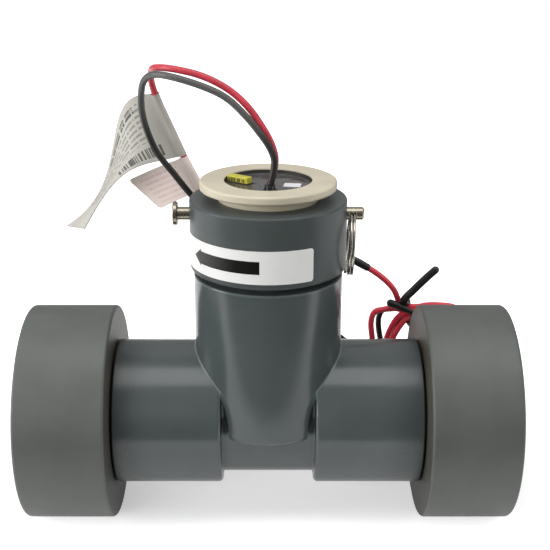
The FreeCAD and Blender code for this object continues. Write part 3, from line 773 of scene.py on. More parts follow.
@dataclass(frozen=True)
class TagPaper(Finish):
    """Tag paper with a plain generic print on its outer side, which its print coordinates place."""

    pattern: TagPrint = TagPrint.RULES
    ink: Rgb = (0.05, 0.05, 0.05)
    rows: float = 12.0
    print_end: float = 0.68
    strength: float = 0.85
    print_start: float = 0.1
    rule_ends: Pair = (0.12, 0.86)
    heading_end: float = 0.2
    heading_ends: Pair = (0.18, 0.62)
    bar_rows: Pair = (0.76, 0.93)
    bar_ends: Pair = (0.08, 0.62)
    bar_scale: float = 46.0
    fibre_mm: float = 0.02

    def paint(self, graph: Graph) -> None:
        """Draw fibres in the paper, and bars or ruled lines where the print coordinates say.

        Args:
            graph: The tree to draw in.
        """
        place = graph.millimetres()
        along, across, _ = graph.split(graph.uv())
        fibre = graph.noise(graph.stretch(place, (1.0, 1.0, 2.5)), 0.9, 4.0)
        cloud = graph.noise(place, 0.05)
        paper = graph.mix(cloud.rise(0.3, 0.75), toned(self.colour, 0.93), self.colour)
        row = across * self.rows
        words = graph.line_noise(along * 5.0 + row.floor() * 7.3, 6.0, 1.0) > 0.42
        inside = across.within(self.print_start, self.print_end) * along.within(*self.rule_ends)
        marks = (row.fract() < 0.42) * words * inside
        if self.pattern is TagPrint.BARS:
            heading = across.within(self.print_start, self.heading_end) * along.within(*self.heading_ends)
            bars = (graph.line_noise(along, self.bar_scale, 0.0) > 0.48) * across.within(*self.bar_rows)
            marks = marks * 0.6 + heading * words * 0.5 + bars * along.within(*self.bar_ends)
        colour = graph.mix(marks * self.strength, paper, self.ink)
        roughness = self.roughness + fibre * 0.1
        graph.surface(Base_Color=colour, Roughness=roughness, Normal=graph.bump(fibre, self.fibre_mm))


@dataclass(frozen=True)
class Floor(Finish):
    """The pale floor: it takes shadow, and is white to the eye and in reflections where none falls."""

    lift: float = 0.42
    mirrored: float = 0.62
    near: Pair = (105.0, 60.0)
    far: float = 190.0
    far_lift: float = 0.6
    front: Pair = (4.0, 34.0)
    front_lift: float = 0.2
    wing_front: Pair = (6.0, 24.0)
    wings: Pair = (60.0, 95.0)
    wing_lift: float = 0.14
    dim_right: Pair = (10.0, 120.0)
    dim_back: Pair = (250.0, 330.0)
    dimmed: float = 0.6

    def paint(self, graph: Graph) -> None:
        """Add light of its own to a plain floor for all but diffuse and shadow rays.

        It grows with distance from the part and in front of it, and its mirrored share is less far behind
        on the right.

        Args:
            graph: The tree to draw in.
        """
        eye = graph.add("ShaderNodeLightPath", output="Is Camera Ray")
        outputs = eye.socket.node.outputs
        mirror = Signal(graph, outputs["Is Glossy Ray"]) + Signal(graph, outputs["Is Transmission Ray"])
        x, y, _ = graph.split(graph.millimetres())
        dimmed = x.rise(*self.dim_right) * y.rise(*self.dim_back) * self.dimmed
        seen = eye + mirror * (self.mirrored - dimmed)
        wide = (x.abs() - self.near[0]).over(0.0)
        deep = (y.abs() - self.near[1]).over(0.0)
        ahead = 0.0 - y
        lift = self.lift + ((wide * wide + deep * deep) ** 0.5).rise(0.0, self.far) * self.far_lift
        lift = lift + ahead.rise(*self.front) * self.front_lift
        lift = lift + ahead.rise(*self.wing_front) * x.abs().rise(*self.wings) * self.wing_lift
        matt = {"Color": (*self.colour, 1.0), "Roughness": self.roughness}
        plain = graph.add("ShaderNodeBsdfDiffuse", None, matt)
        glow = graph.add("ShaderNodeEmission", None, {"Strength": seen * lift})
        both = graph.add("ShaderNodeAddShader", None, {0: plain, 1: glow})
        graph.add("ShaderNodeOutputMaterial", None, {"Surface": both})


TEE_GREY = TeePlastic("tee_moulded_grey", (0.072, 0.086, 0.087), 0.2)
COLLAR_GREY = TurnedPlastic(
    "collar_turned_grey", (0.07, 0.082, 0.081), 0.34, TurnAxis.BRANCH, mark_mm=0.01, gloss=1.35
)
ADAPTER_GREY = AdapterPlastic(
    "adapter_turned_grey", (0.102, 0.111, 0.102), 0.5, TurnAxis.RUN, mark_mm=0.005, band=0.012, cloud=0.12
)
CREAM = MouldedPlastic("insert_cream", (0.6, 0.545, 0.415), 0.42, skin_mm=0.008)
RESIN = CastResin("cup_resin", (0.07, 0.064, 0.069), 0.1)
ZINC = PlatedMetal("pin_zinc", (0.36, 0.33, 0.26), 0.26)
NICKEL = PlatedMetal("ring_nickel", (0.5, 0.47, 0.42), 0.18, (0.8, 0.8, 0.8), (0.28, 0.24, 0.2))
GROUND_STEEL = PlatedMetal("shaft_ground_steel", (0.6, 0.6, 0.6), 0.25, (0.6, 6.0, 0.6), (0.4, 0.38, 0.35))
COPPER = PlatedMetal("lead_copper", (0.78, 0.4, 0.24), 0.3, (2.0, 2.0, 2.0), (0.3, 0.16, 0.1))
# The red lead's paler stretch behind the part is painted light, standing in for light that falls on it
# there.
RED = PaleStretchInsulation(
    "lead_red", (0.58, 0.044, 0.066), 0.36, pale=(0.85, 0.058, 0.09), past=PaleAxis.DEPTH, span=(38.0, 46.0)
)
# The black lead is paler over the top of its loop.
BLACK = PaleStretchInsulation("lead_black", (0.02, 0.018, 0.017), 0.38)
SHRINK = Insulation("sleeve_shrink", (0.022, 0.021, 0.021), 0.45)
TIE_BLACK = Insulation("tie_black", (0.012, 0.012, 0.012), 0.35)
SEALANT = Insulation("sealant_black", (0.012, 0.012, 0.012), 0.3)
SEAL_RUBBER = MouldedPlastic("seal_rubber", (0.02, 0.02, 0.02), 0.55)
IMPELLER_BLACK = MouldedPlastic("impeller_moulded_black", (0.03, 0.03, 0.032), 0.4)
BUSH_WHITE = MouldedPlastic("bush_white", (0.75, 0.74, 0.7), 0.35)
BOARD_GREEN = MouldedPlastic("board_green", (0.03, 0.2, 0.08), 0.35)
COIL_BROWN = MouldedPlastic("coil_brown", (0.3, 0.14, 0.06), 0.4)
LABEL_WHITE = Film("label_white", (0.83, 0.835, 0.81), 0.36)
ARROW_INK = ArrowInk("arrow_ink", (0.005, 0.005, 0.004), 0.45)
CAPACITOR_YELLOW = MarkedCase("capacitor_yellow", (0.6, 0.55, 0.05), 0.4)
STICKER_WHITE = Film("sticker_white", (0.78, 0.78, 0.8), 0.5)
LARGE_PAPER = TagPaper("tag_paper_bars", (0.51, 0.495, 0.45), 0.62, TagPrint.BARS)
SMALL_PAPER = TagPaper(
    "tag_paper_rules", (0.98, 0.85, 0.8), 0.62, TagPrint.RULES, (0.62, 0.25, 0.25), 7.0, 0.9, 0.3
)
FLOOR_WHITE = Floor("floor_white", (0.86, 0.86, 0.86), 0.5)


def to_frame(points: Array) -> Array:
    """Return points in millimetres from the run axis as metres in the part's frame."""
    return (np.asarray(points, float) + (0.0, 0.0, AXIS_HEIGHT)) * MM


def unit(vectors: Array) -> Array:
    """Return vectors of length 1 along the last axis."""
    return vectors / np.linalg.norm(vectors, axis=-1, keepdims=True)


def full_turn(count: int) -> Array:
    """Return some angles evenly round a circle, in radians."""
    return np.linspace(0.0, 2 * math.pi, count, endpoint=False)


def grid_faces(rows: int, columns: int, closed: bool = False) -> Array:
    """Number the four-sided faces of a grid of points.

    Args:
        rows: How many rows of points there are.
        columns: How many points are in a row.
        closed: Whether the last point of a row joins its first.

    Returns:
        One row of four point numbers for each face.
    """
    row = np.arange(rows - 1)[:, None] * columns
    column = np.arange(columns if closed else columns - 1)[None, :]
    after = (column + 1) % columns
    corners = [row + column, row + after, row + columns + after, row + columns + column]
    return np.stack(corners, -1).reshape(-1, 4)


def mesh_piece(name: str, points: Array, faces: Array, uv: Array | None = None) -> bpy.types.Object:
    """Make a smooth mesh piece at the origin.

    Args:
        name: The piece's name.
        points: Its points, in millimetres from the run axis.
        faces: Four point numbers for each face.
        uv: Print coordinates for each point, if it is printed.

    Returns:
        The new object.
    """
    flat = np.asarray(points, float).reshape(-1, 3)
    mesh = bpy.data.meshes.new(name)
    mesh.vertices.add(len(flat))
    mesh.vertices.foreach_set("co", to_frame(flat).ravel())
    mesh.loops.add(faces.size)
    mesh.loops.foreach_set("vertex_index", faces.ravel().astype(np.int32))
    mesh.polygons.add(len(faces))
    mesh.polygons.foreach_set("loop_start", np.arange(0, faces.size, 4, dtype=np.int32))
    mesh.polygons.foreach_set("use_smooth", np.ones(len(faces), bool))
    if uv is not None:
        layer = mesh.uv_layers.new(name="print")
        layer.data.foreach_set("uv", np.asarray(uv, np.float32).reshape(-1, 2)[faces.ravel()].ravel())
    mesh.update(calc_edges=True)
    piece = bpy.data.objects.new(name, mesh)
    bpy.context.scene.collection.objects.link(piece)
    return piece


def weld(piece: bpy.types.Object) -> None:
    """Weld a piece's poles and seams and turn its faces outwards.

    Args:
        piece: The piece to weld.
    """
    work = bmesh.new()
    work.from_mesh(piece.data)
    bmesh.ops.remove_doubles(work, verts=work.verts, dist=WELD)
    bmesh.ops.dissolve_degenerate(work, edges=work.edges, dist=WELD / 10)
    bmesh.ops.recalc_face_normals(work, faces=work.faces)
    work.to_mesh(piece.data)
    work.free()


def thicken(piece: bpy.types.Object, name: str, thickness: float) -> None:
    """Give a sheet its thickness, half to each side.

    Args:
        piece: The sheet.
        name: The modifier's name.
        thickness: How thick it becomes, in millimetres.
    """
    solid = piece.modifiers.new(name, "SOLIDIFY")
    solid.thickness = thickness * MM
    solid.offset = 0.0


def settle(piece: bpy.types.Object, finish: Finish, slot: str, *nodes: str) -> bpy.types.Object:
    """Dress a piece, fix it to the housing and hide the solids that it takes the place of.

    Args:
        piece: The piece.
        finish: What it is dressed in.
        slot: Its material slot; not used.
        nodes: The solids that it takes the place of, if any.

    Returns:
        The same piece.
    """
    finish.dress(piece)
    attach(piece, HOUSING)
    if nodes:
        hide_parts(*nodes)
    return piece


def tube(path: Array, radii: Array, sides: int) -> Array:
    """Work out a round tube: each path point plus its radius round two directions across the path.

    Args:
        path: Points along the middle.
        radii: The radius at each of them.
        sides: How many points go round.

    Returns:
        An array of path points by sides by 3.
    """
    along = unit(np.gradient(path, axis=0))
    up = np.where(np.abs(along[:, 2:]) > 0.9, (0.0, 1.0, 0.0), (0.0, 0.0, 1.0))
    first = unit(np.cross(along, up))
    second = np.cross(along, first)
    turn = full_turn(sides)[None, :, None]
    ring = np.cos(turn) * first[:, None] + np.sin(turn) * second[:, None]
    return path[:, None] + ring * np.asarray(radii)[:, None, None]


def capped(rings: Array) -> Array:
    """Return rings of points with one more at either end, drawn in to the middle of the last one there."""
    poles = np.repeat(rings[[0, -1]].mean(1, keepdims=True), rings.shape[1], 1)
    return np.concatenate([poles[:1], rings, poles[1:]])


def closed_piece(name: str, *bodies: Array) -> bpy.types.Object:
    """Make one piece of some bodies that are each closed round, welded at their poles.

    Args:
        name: The piece's name.
        bodies: The rings of points of each body.

    Returns:
        The new object.
    """
    starts = np.cumsum([0] + [body.shape[0] * body.shape[1] for body in bodies])
    faces = [grid_faces(*body.shape[:2], closed=True) + start for body, start in zip(bodies, starts)]
    points = np.concatenate([body.reshape(-1, 3) for body in bodies])
    piece = mesh_piece(name, points, np.concatenate(faces))
    weld(piece)
    return piece


def nurbs_curve(name: str, points: Array, radius: float) -> bpy.types.Object:
    """Make a round cord as one smooth open spline.

    Args:
        name: The piece's name.
        points: Control points, in millimetres from the run axis.
        radius: The cord's radius in millimetres, or 0 for a bare line.

    Returns:
        The new curve object.
    """
    curve = bpy.data.curves.new(name, "CURVE")
    curve.dimensions = "3D"
    curve.resolution_u = 10
    curve.bevel_depth = radius * MM
    curve.bevel_resolution = 5
    curve.use_fill_caps = True
    spline = curve.splines.new("NURBS")
    spline.points.add(len(points) - 1)
    whole = np.column_stack([to_frame(points), np.ones(len(points))])
    spline.points.foreach_set("co", whole.ravel())
    spline.order_u = 3
    spline.use_endpoint_u = True
    piece = bpy.data.objects.new(name, curve)
    bpy.context.scene.collection.objects.link(piece)
    return piece


def spline_line(points: Array) -> Array:
    """Read points off the spline that some control points give.

    Args:
        points: Control points, in millimetres from the run axis.

    Returns:
        Points along the spline, in the same units.
    """
    line = nurbs_curve("line", points, 0.0)
    line.data.resolution_u = 24
    graph = bpy.context.evaluated_depsgraph_get()
    mesh = bpy.data.meshes.new_from_object(line.evaluated_get(graph))
    places = np.empty(len(mesh.vertices) * 3)
    mesh.vertices.foreach_get("co", places)
    bpy.data.meshes.remove(mesh)
    bpy.data.objects.remove(line)
    return places.reshape(-1, 3) / MM - (0.0, 0.0, AXIS_HEIGHT)


def distances(line: Array) -> Array:
    """Return how far along a line each of its points is."""
    return np.concatenate([[0.0], np.cumsum(np.linalg.norm(np.diff(line, axis=0), axis=1))])


def nearest_run(line: Array, place: Point) -> float:
    """Return how far along a line its point nearest to a place is."""
    return float(distances(line)[np.argmin(np.linalg.norm(line - place, axis=1))])


def line_at(line: Array, wanted: Array) -> Array:
    """Return the points at some distances along a line."""
    run = distances(line)
    return np.column_stack([np.interp(wanted, run, line[:, part]) for part in range(3)])


def bezier(poles: Sequence[Point], share: Array) -> Array:
    """Work out a cubic curve: the poles weighted by the Bernstein terms of the share.

    Args:
        poles: The curve's four poles.
        share: How far along it each point is, from 0 to 1.

    Returns:
        The points.
    """
    left = 1.0 - share
    terms = np.stack([left**3, 3 * left**2 * share, 3 * left * share**2, share**3], -1)
    return terms @ np.asarray(poles, float)


@dataclass
class Leads:
    """The two leads: from the sealant over the branch, down behind it and into the hank.

    Their length is in metres, and their places are from the run axis.
    """

    diameter: float = 3.3
    length: float = 1.1
    hank_back: float = 61.2
    lane_pitch: float = 3.4
    waist_back: float = 59.4
    waist_height: float = 30.4
    waist_ring: float = 3.35
    waist_rightwards: Pair = (79.5, 84.0)
    waist_leftwards: Pair = (83.0, 77.0)
    ease: Pair = (0.75, 0.35)
    fold_height: float = -41.8
    fold_reach: float = 11.4
    left_shoulder: Sequence[Pair] = ((10.0, 0.0), (5.5, -1.2), (-0.2, -2.0), (-2.0, -8.0), (-1.2, -16.0))
    left_outer_leg: Sequence[Pair] = ((1.2, 6.0), (1.0, -14.0))
    left_inner_leg: Sequence[Pair] = ((1.5, -12.0), (-1.5, 6.0), (-0.4, 15.0))
    left_entry: Sequence[Pair] = ((3.4, -6.2), (6.6, -1.7))
    right_top: Sequence[Pair] = ((88.0, 35.2), (95.0, 35.7), (104.0, 35.2))
    right_shoulder: Sequence[Pair] = ((-3.0, 27.0),)
    right_outer_leg: Sequence[Pair] = ((0.0, 12.0), (1.0, -12.0))
    right_inner_leg: Sequence[Pair] = ((0.0, -12.0), (-2.5, 10.0))
    right_entry: Pair = (88.5, 23.0)
    strands: int = 7
    strand_radius: float = 0.18
    strand_reach: float = 0.37
    strand_ends: Pair = (-0.5, 7.5)
    strand_turns: float = 0.8
    red_route: Sequence[Point] = (
        (1.0, -10.0, 123.0), (4.1, -9.3, 132.0), (2.1, -7.7, 140.5), (-2.6, -6.0, 148.8),
        (-9.2, -4.2, 158.0), (-18.0, -2.6, 165.8), (-30.5, -1.0, 172.0), (-45.0, 2.0, 174.7),
        (-53.5, 10.0, 174.0), (-56.5, 22.0, 171.0), (-58.0, 31.0, 164.5), (-55.5, 35.0, 154.0),
        (-49.5, 37.0, 139.5), (-41.5, 39.0, 120.0), (-31.0, 43.0, 99.0), (-15.0, 49.0, 90.0),
        (5.0, 51.0, 83.0), (30.0, 48.0, 73.5), (49.0, 45.0, 64.5), (59.5, 47.0, 57.5),
        (68.0, 51.0, 48.5), (71.5, 55.5, 40.5), (73.0, 59.0, 35.0),
    )
    black_route: Sequence[Point] = (
        (0.9, -13.5, 123.0), (3.8, -12.9, 132.0), (1.5, -11.4, 139.5), (-4.0, -9.7, 147.0),
        (-11.0, -6.9, 155.0), (-19.5, -4.9, 162.8), (-31.0, -2.7, 167.5), (-44.0, 0.0, 171.0),
        (-54.0, 7.0, 171.5), (-59.5, 14.0, 167.5), (-61.5, 18.0, 160.0), (-61.5, 19.0, 150.0),
        (-58.5, 19.0, 139.0), (-54.5, 20.0, 129.5), (-47.5, 21.0, 120.5), (-40.0, 23.0, 109.5),
        (-33.0, 33.0, 98.0), (-21.0, 42.0, 85.0), (-6.0, 46.5, 69.0), (7.0, 49.0, 54.0),
        (22.0, 49.0, 37.0), (36.0, 51.0, 22.0), (48.0, 55.0, 11.0), (58.0, 59.0, 3.0),
    )

    @staticmethod
    def moved(offsets: Sequence[Pair], across: float, up: float = 0.0) -> list[Pair]:
        """Return places across and up, all moved by the same amounts."""
        return [(across + aside, up + rise) for aside, rise in offsets]

    def fold(self, middle: float) -> list[Pair]:
        """Work out the foot of a turn: five points of a half circle that rests on the floor.

        Args:
            middle: Where the foot's middle is.

        Returns:
            The points across and up, from left to right.
        """
        turn = np.radians(np.linspace(180.0, 360.0, 5))
        across = middle + self.fold_reach * np.cos(turn)
        return list(zip(across, self.fold_height + self.fold_reach * np.sin(turn)))

    def slot_place(self, slot: int) -> Pair:
        """Tell how far back and how high a pass through the waist lies.

        Args:
            slot: One of six places round the waist's middle, counted from the top, or 6 for the middle.

        Returns:
            The pass's y and z.
        """
        turn = math.pi * slot / 3
        reach = 0.0 if slot == 6 else self.waist_ring
        return self.waist_back - reach * math.sin(turn), self.waist_height + reach * math.cos(turn)

    def in_lane(self, flat: Sequence[Pair], lane: int, slots: Passes) -> Array:
        """Lay a turn in one of the lanes that lie one behind the other.

        The two points at either end are drawn back or forward to where the waist has them.

        Args:
            flat: The turn's points across and up.
            lane: The lane it lies in.
            slots: The passes that it comes from and goes to.

        Returns:
            The turn's points.
        """
        places = np.array(flat)
        back = np.full(len(places), self.hank_back + (lane - 1.5) * self.lane_pitch)
        first, last = (self.slot_place(slot)[0] for slot in slots)
        share = np.array(self.ease)
        back[:2] += share * (first - back[:2])
        back[-2:] += share[::-1] * (last - back[-2:])
        return np.column_stack([places[:, 0], back, places[:, 1]])

    def left_turn(self, lane: int, slots: Passes, outer: float, inner: float, top: float) -> Array:
        """Work out a turn of the left lobe, from the waist over its outer leg and back up the inner one.

        Args:
            lane: The lane it lies in.
            slots: The passes through the waist that it comes from and goes to.
            outer: Where the outer leg passes half way up.
            inner: Where the inner leg passes half way up.
            top: How high it leaves the waist.

        Returns:
            The turn's points.
        """
        down = self.moved(self.left_shoulder, outer, top) + self.moved(self.left_outer_leg, outer)
        up = self.moved(self.left_inner_leg, inner)
        up += self.moved(self.left_entry, inner, self.slot_place(slots[1])[1])
        return self.in_lane(down + self.fold((outer + inner) / 2) + up, lane, slots)

    def right_turn(self, lane: int, slots: Passes, drop: float, outer: float, inner: float) -> Array:
        """Work out a turn of the right lobe, from the waist over its outer leg and back up the inner one.

        Args:
            lane: The lane it lies in.
            slots: The passes through the waist that it comes from and goes to.
            drop: How far its top lies under the highest one.
            outer: Where the outer leg passes half way up.
            inner: Where the inner leg passes half way up.

        Returns:
            The turn's points.
        """
        down = self.moved(self.right_top, 0.0, -drop) + self.moved(self.right_shoulder, outer, -drop)
        down += self.moved(self.right_outer_leg, outer)
        up = self.moved(self.right_inner_leg, inner) + [self.right_entry]
        return self.in_lane(down + self.fold((outer + inner) / 2)[::-1] + up, lane, slots)

    def waist(self, slot: int, rightwards: bool) -> Array:
        """Work out a straight pass through the tied waist.

        Args:
            slot: Which pass it is.
            rightwards: Which way the lead goes through.

        Returns:
            The pass's two points.
        """
        ends = self.waist_rightwards if rightwards else self.waist_leftwards
        return np.array([(across, *self.slot_place(slot)) for across in ends])

    def red_points(self) -> Array:
        """Work out the red lead: its route, then two turns of the hank.

        Returns:
            The control points.
        """
        return np.concatenate([
            np.array(self.red_route),
            self.waist(0, True),
            self.right_turn(0, (0, 1), 0.0, 117.0, 94.5),
            self.waist(1, False),
            self.left_turn(0, (1, 2), 59.0, 69.4, 34.6),
            self.waist(2, True),
            self.right_turn(1, (2, 6), 4.0, 114.5, 92.5),
            self.waist(6, False),
            self.left_turn(1, (6, 6), 58.0, 66.9, 34.0)[::-1][:11],
        ])

    def black_points(self) -> Array:
        """Work out the black lead: its route into the left lobe, then its turns.

        Returns:
            The control points.
        """
        return np.concatenate([
            np.array(self.black_route),
            self.left_turn(2, (3, 3), 60.0, 68.9, 33.0)[6:],
            self.waist(3, True),
            self.right_turn(2, (3, 5), 5.0, 115.5, 93.5),
            self.waist(5, False),
            self.left_turn(3, (5, 4), 64.2, 71.0, 31.5),
            self.waist(4, True),
            self.right_turn(3, (4, 4), 5.5, 113.0, 91.5)[:12],
        ])

    def tip(self, name: str, points: Array) -> bpy.types.Object:
        """Make a lead's stripped end: fine strands twisted round the line past its last point.

        Each strand but the middle one is a tube on a helix: the line plus a circle that turns as it goes.

        Args:
            name: The piece's name.
            points: The lead's control points.

        Returns:
            The new piece.
        """
        way = unit(points[-1] - points[-2])
        side = unit(np.cross(way, (0.0, 1.0, 0.0)))
        other = np.cross(way, side)
        share = np.linspace(0.0, 1.0, 14)
        start, end = self.strand_ends
        line = points[-1] + way * (share[:, None] * (end - start) + start)
        radii = np.full(len(share), self.strand_radius)
        middle = self.strands - 1
        bodies = []
        for number in range(self.strands):
            turn = 2 * math.pi * (number / middle + share * self.strand_turns)[:, None]
            reach = 0.0 if number == middle else self.strand_reach
            path = line + reach * (np.cos(turn) * side + np.sin(turn) * other)
            bodies.append(capped(tube(path, radii, 8)))
        return settle(closed_piece(name, *bodies), COPPER, "shaft_steel")

    def build(self, riders: Sequence[bpy.types.Object]) -> list[bpy.types.Object]:
        """Args:
            riders: The pieces that sit on the red lead; not used.

        Returns:
            The new pieces.
        """
        made = []
        plan = (
            ("red_wire", self.red_points(), RED, "red_insulation", ("red_lead", "lead_hank"), riders),
            ("black_wire", self.black_points(), BLACK, "black_insulation", ("black_lead",), ()),
        )
        for name, points, finish, slot, nodes, with_pieces in plan:
            wire = settle(nurbs_curve(name, points, self.diameter / 2), finish, slot, *nodes)
            tip = self.tip(name + "_tip", points)
            made += [wire, tip]
        return made


@dataclass
class LeadFittings:
    """What is on the leads: the shrunk sleeve and the tie round the hank's waist."""

    sleeve_middle: Point = (49.0, 45.0, 64.5)
    sleeve_half: float = 6.2
    sleeve_radius: float = 1.98
    sleeve_gap: float = 0.08
    sleeve_draw: float = 14.0
    sleeve_swell: Pair = (0.12, 0.4)
    sleeve_ripple: Pair = (0.03, 17.0)
    tie_radius: float = 2.15
    tie_thin: float = 1.6
    tie_ring: float = 6.65
    tie_across: float = 79.5
    tie_drift: Pair = (0.5, -2.0)
    tie_turn_deg: Pair = (160.0, 470.0)
    tie_tails: Pair = (8.0, 26.0)
    tie_taper: float = 5.0
    short_tail: Sequence[Point] = (
        (65.3, 53.0, 39.1), (68.3, 53.0, 38.0), (71.5, 52.8, 36.8), (75.5, 52.4, 35.0),
    )
    long_tail: Sequence[Point] = (
        (75.4, 53.6, 37.6), (74.3, 52.6, 39.8), (75.9, 53.0, 42.1), (79.9, 54.0, 45.6),
        (83.0, 54.0, 49.1), (86.4, 54.0, 52.6), (89.9, 54.0, 56.1), (92.8, 54.0, 58.7),
    )

    def sleeve(self, leads: Leads) -> bpy.types.Object:
        """Make the sleeve: a tube on the red lead's line, drawn in at both ends and fuller in the middle.

        Its radius falls with a high power of the distance from its middle, plus a bell and a ripple.

        Args:
            leads: The leads.

        Returns:
            The new piece.
        """
        line = spline_line(leads.red_points())
        place = np.linspace(-1.0, 1.0, 41)
        path = line_at(line, nearest_run(line, self.sleeve_middle) + place * self.sleeve_half)
        inner = leads.diameter / 2
        drawn = 1.0 - np.abs(place) ** self.sleeve_draw
        swell, width = self.sleeve_swell
        ripple, waves = self.sleeve_ripple
        radii = inner + self.sleeve_gap + (self.sleeve_radius - inner) * drawn
        radii += swell * np.exp(-((place / width) ** 2)) + ripple * np.sin(place * waves)
        piece = closed_piece("shrink_sleeve", capped(tube(path, radii, 24)))
        return settle(piece, SHRINK, "sleeve_shrink", "splice_sleeve")

    def tie(self, leads: Leads) -> bpy.types.Object:
        """Make the tie: one smooth line from its short tail round the waist to its long tail.

        The ring is a circle that drifts sideways; the tube is thin where it is wound, with rounded ends.

        Args:
            leads: The leads.

        Returns:
            The new piece.
        """
        turn = np.radians(np.linspace(*self.tie_turn_deg, 14))
        ring = np.column_stack([
            self.tie_across + np.linspace(*self.tie_drift, len(turn)),
            leads.waist_back + self.tie_ring * np.cos(turn),
            leads.waist_height + self.tie_ring * np.sin(turn),
        ])
        path = spline_line(np.concatenate([self.short_tail, ring, self.long_tail]))
        run = distances(path)
        left = run[-1] - run
        short, long = self.tie_tails
        wound = np.clip(np.minimum(run - short, left - long) / self.tie_taper, 0.0, 1.0)
        drawn = np.clip(np.minimum(run, left) / self.tie_radius, 0.02, 1.0)
        radii = self.tie_radius + (self.tie_thin - self.tie_radius) * wound
        radii *= np.sqrt(1.0 - (1.0 - drawn) ** 2)
        piece = closed_piece("hank_tie", capped(tube(path, radii, 14)))
        return settle(piece, TIE_BLACK, "tie_plastic", "twist_tie")


@dataclass
class Tag:
    """A paper flag: a strip that goes round the red lead and is stuck to itself."""

    name: str
    node: str
    finish: TagPaper
    lead: tuple[Point, Point]
    top: Sequence[Point]
    foot: Sequence[Point]
    flat: Pair
    curl: float = 0.5
    corner: float = 1.0
    wave: Pair = (5.2, 1.7)
    cross_wave: Pair = (3.4, 0.6)
    roll_radius: float = 1.95
    roll_deg: Pair = (38.0, 322.0)
    layer_gap: float = 0.14
    paper: float = 0.16

    def flag(self) -> tuple[Array, Array, Array, Array]:
        """Work out the flag's middle: ruled between two cubic edges, with a slow wave along its normal.

        Its far corners are cut to quarter circles.

        Returns:
            How far along and across each point is, the points, and their normals.
        """
        spread = 0.5 - 0.5 * np.cos(np.linspace(0.0, math.pi, 41))
        along, across = np.meshgrid(np.linspace(0.0, 1.0, 61), spread, indexing="ij")
        edge = np.minimum(across, 1.0 - across) * self.flat[0] / self.corner
        cut = 1.0 - np.sqrt(1.0 - np.clip(1.0 - edge, 0.0, 1.0) ** 2)
        along = along * (1.0 - cut * self.corner / (self.flat[1] / 2))
        top, foot = bezier(self.top, along), bezier(self.foot, along)
        middle = (1 - across)[..., None] * top + across[..., None] * foot
        normal = unit(np.cross(np.gradient(middle, axis=0), np.gradient(middle, axis=1)))
        wave = np.sin(along * self.wave[0] + across * self.wave[1])
        wave = wave * np.sin(across * self.cross_wave[0] + self.cross_wave[1]) * self.curl * along
        return along, across, middle + normal * wave[..., None], normal

    def roll(self, leads: Leads, across: Array, start: Array, normal: Array) -> Array:
        """Work out the part round the lead: an arc about the lead's own line from one layer to the other.

        Args:
            leads: The leads, of which the tag goes round the red one.
            across: How far across the tag each point of a row is.
            start: Where the flag starts, for each of them.
            normal: The flag's normals there.

        Returns:
            The rows of points of the arc.
        """
        route = spline_line(leads.red_points())
        first, last = (nearest_run(route, place) for place in self.lead)
        line = line_at(route, first + across * (last - first))
        way = unit(np.gradient(line, axis=0))
        out = start - line
        out = unit(out - (out * way).sum(-1, keepdims=True) * way)
        side = np.cross(way, out)
        side = side * np.sign((side * normal).sum(-1, keepdims=True))
        turn = np.radians(np.linspace(*self.roll_deg, 33))[:, None, None]
        return line + self.roll_radius * (np.cos(turn) * out + np.sin(turn) * side)

    def build(self, leads: Leads) -> bpy.types.Object:
        """Make the tag as one sheet: in along the outer layer, round the lead, and out along the inner one.

        Args:
            leads: The leads, of which the tag goes round the red one.

        Returns:
            The new piece.
        """
        along, across, middle, normal = self.flag()
        roll = self.roll(leads, across[0], middle[0], normal[0])
        lift = normal * self.layer_gap
        points = np.concatenate([(middle + lift)[::-1], roll, middle - lift])
        print_along = np.concatenate([along[::-1], np.zeros(roll.shape[:2]), -along])
        print_across = np.concatenate([across, np.repeat(across[:1], len(roll), 0), across])
        uv = np.stack([print_along, print_across], -1)
        piece = mesh_piece(self.name, points, grid_faces(*points.shape[:2]), uv)
        thicken(piece, "paper", self.paper)
        settle(piece, self.finish, "tag_paper", self.node)
        return piece


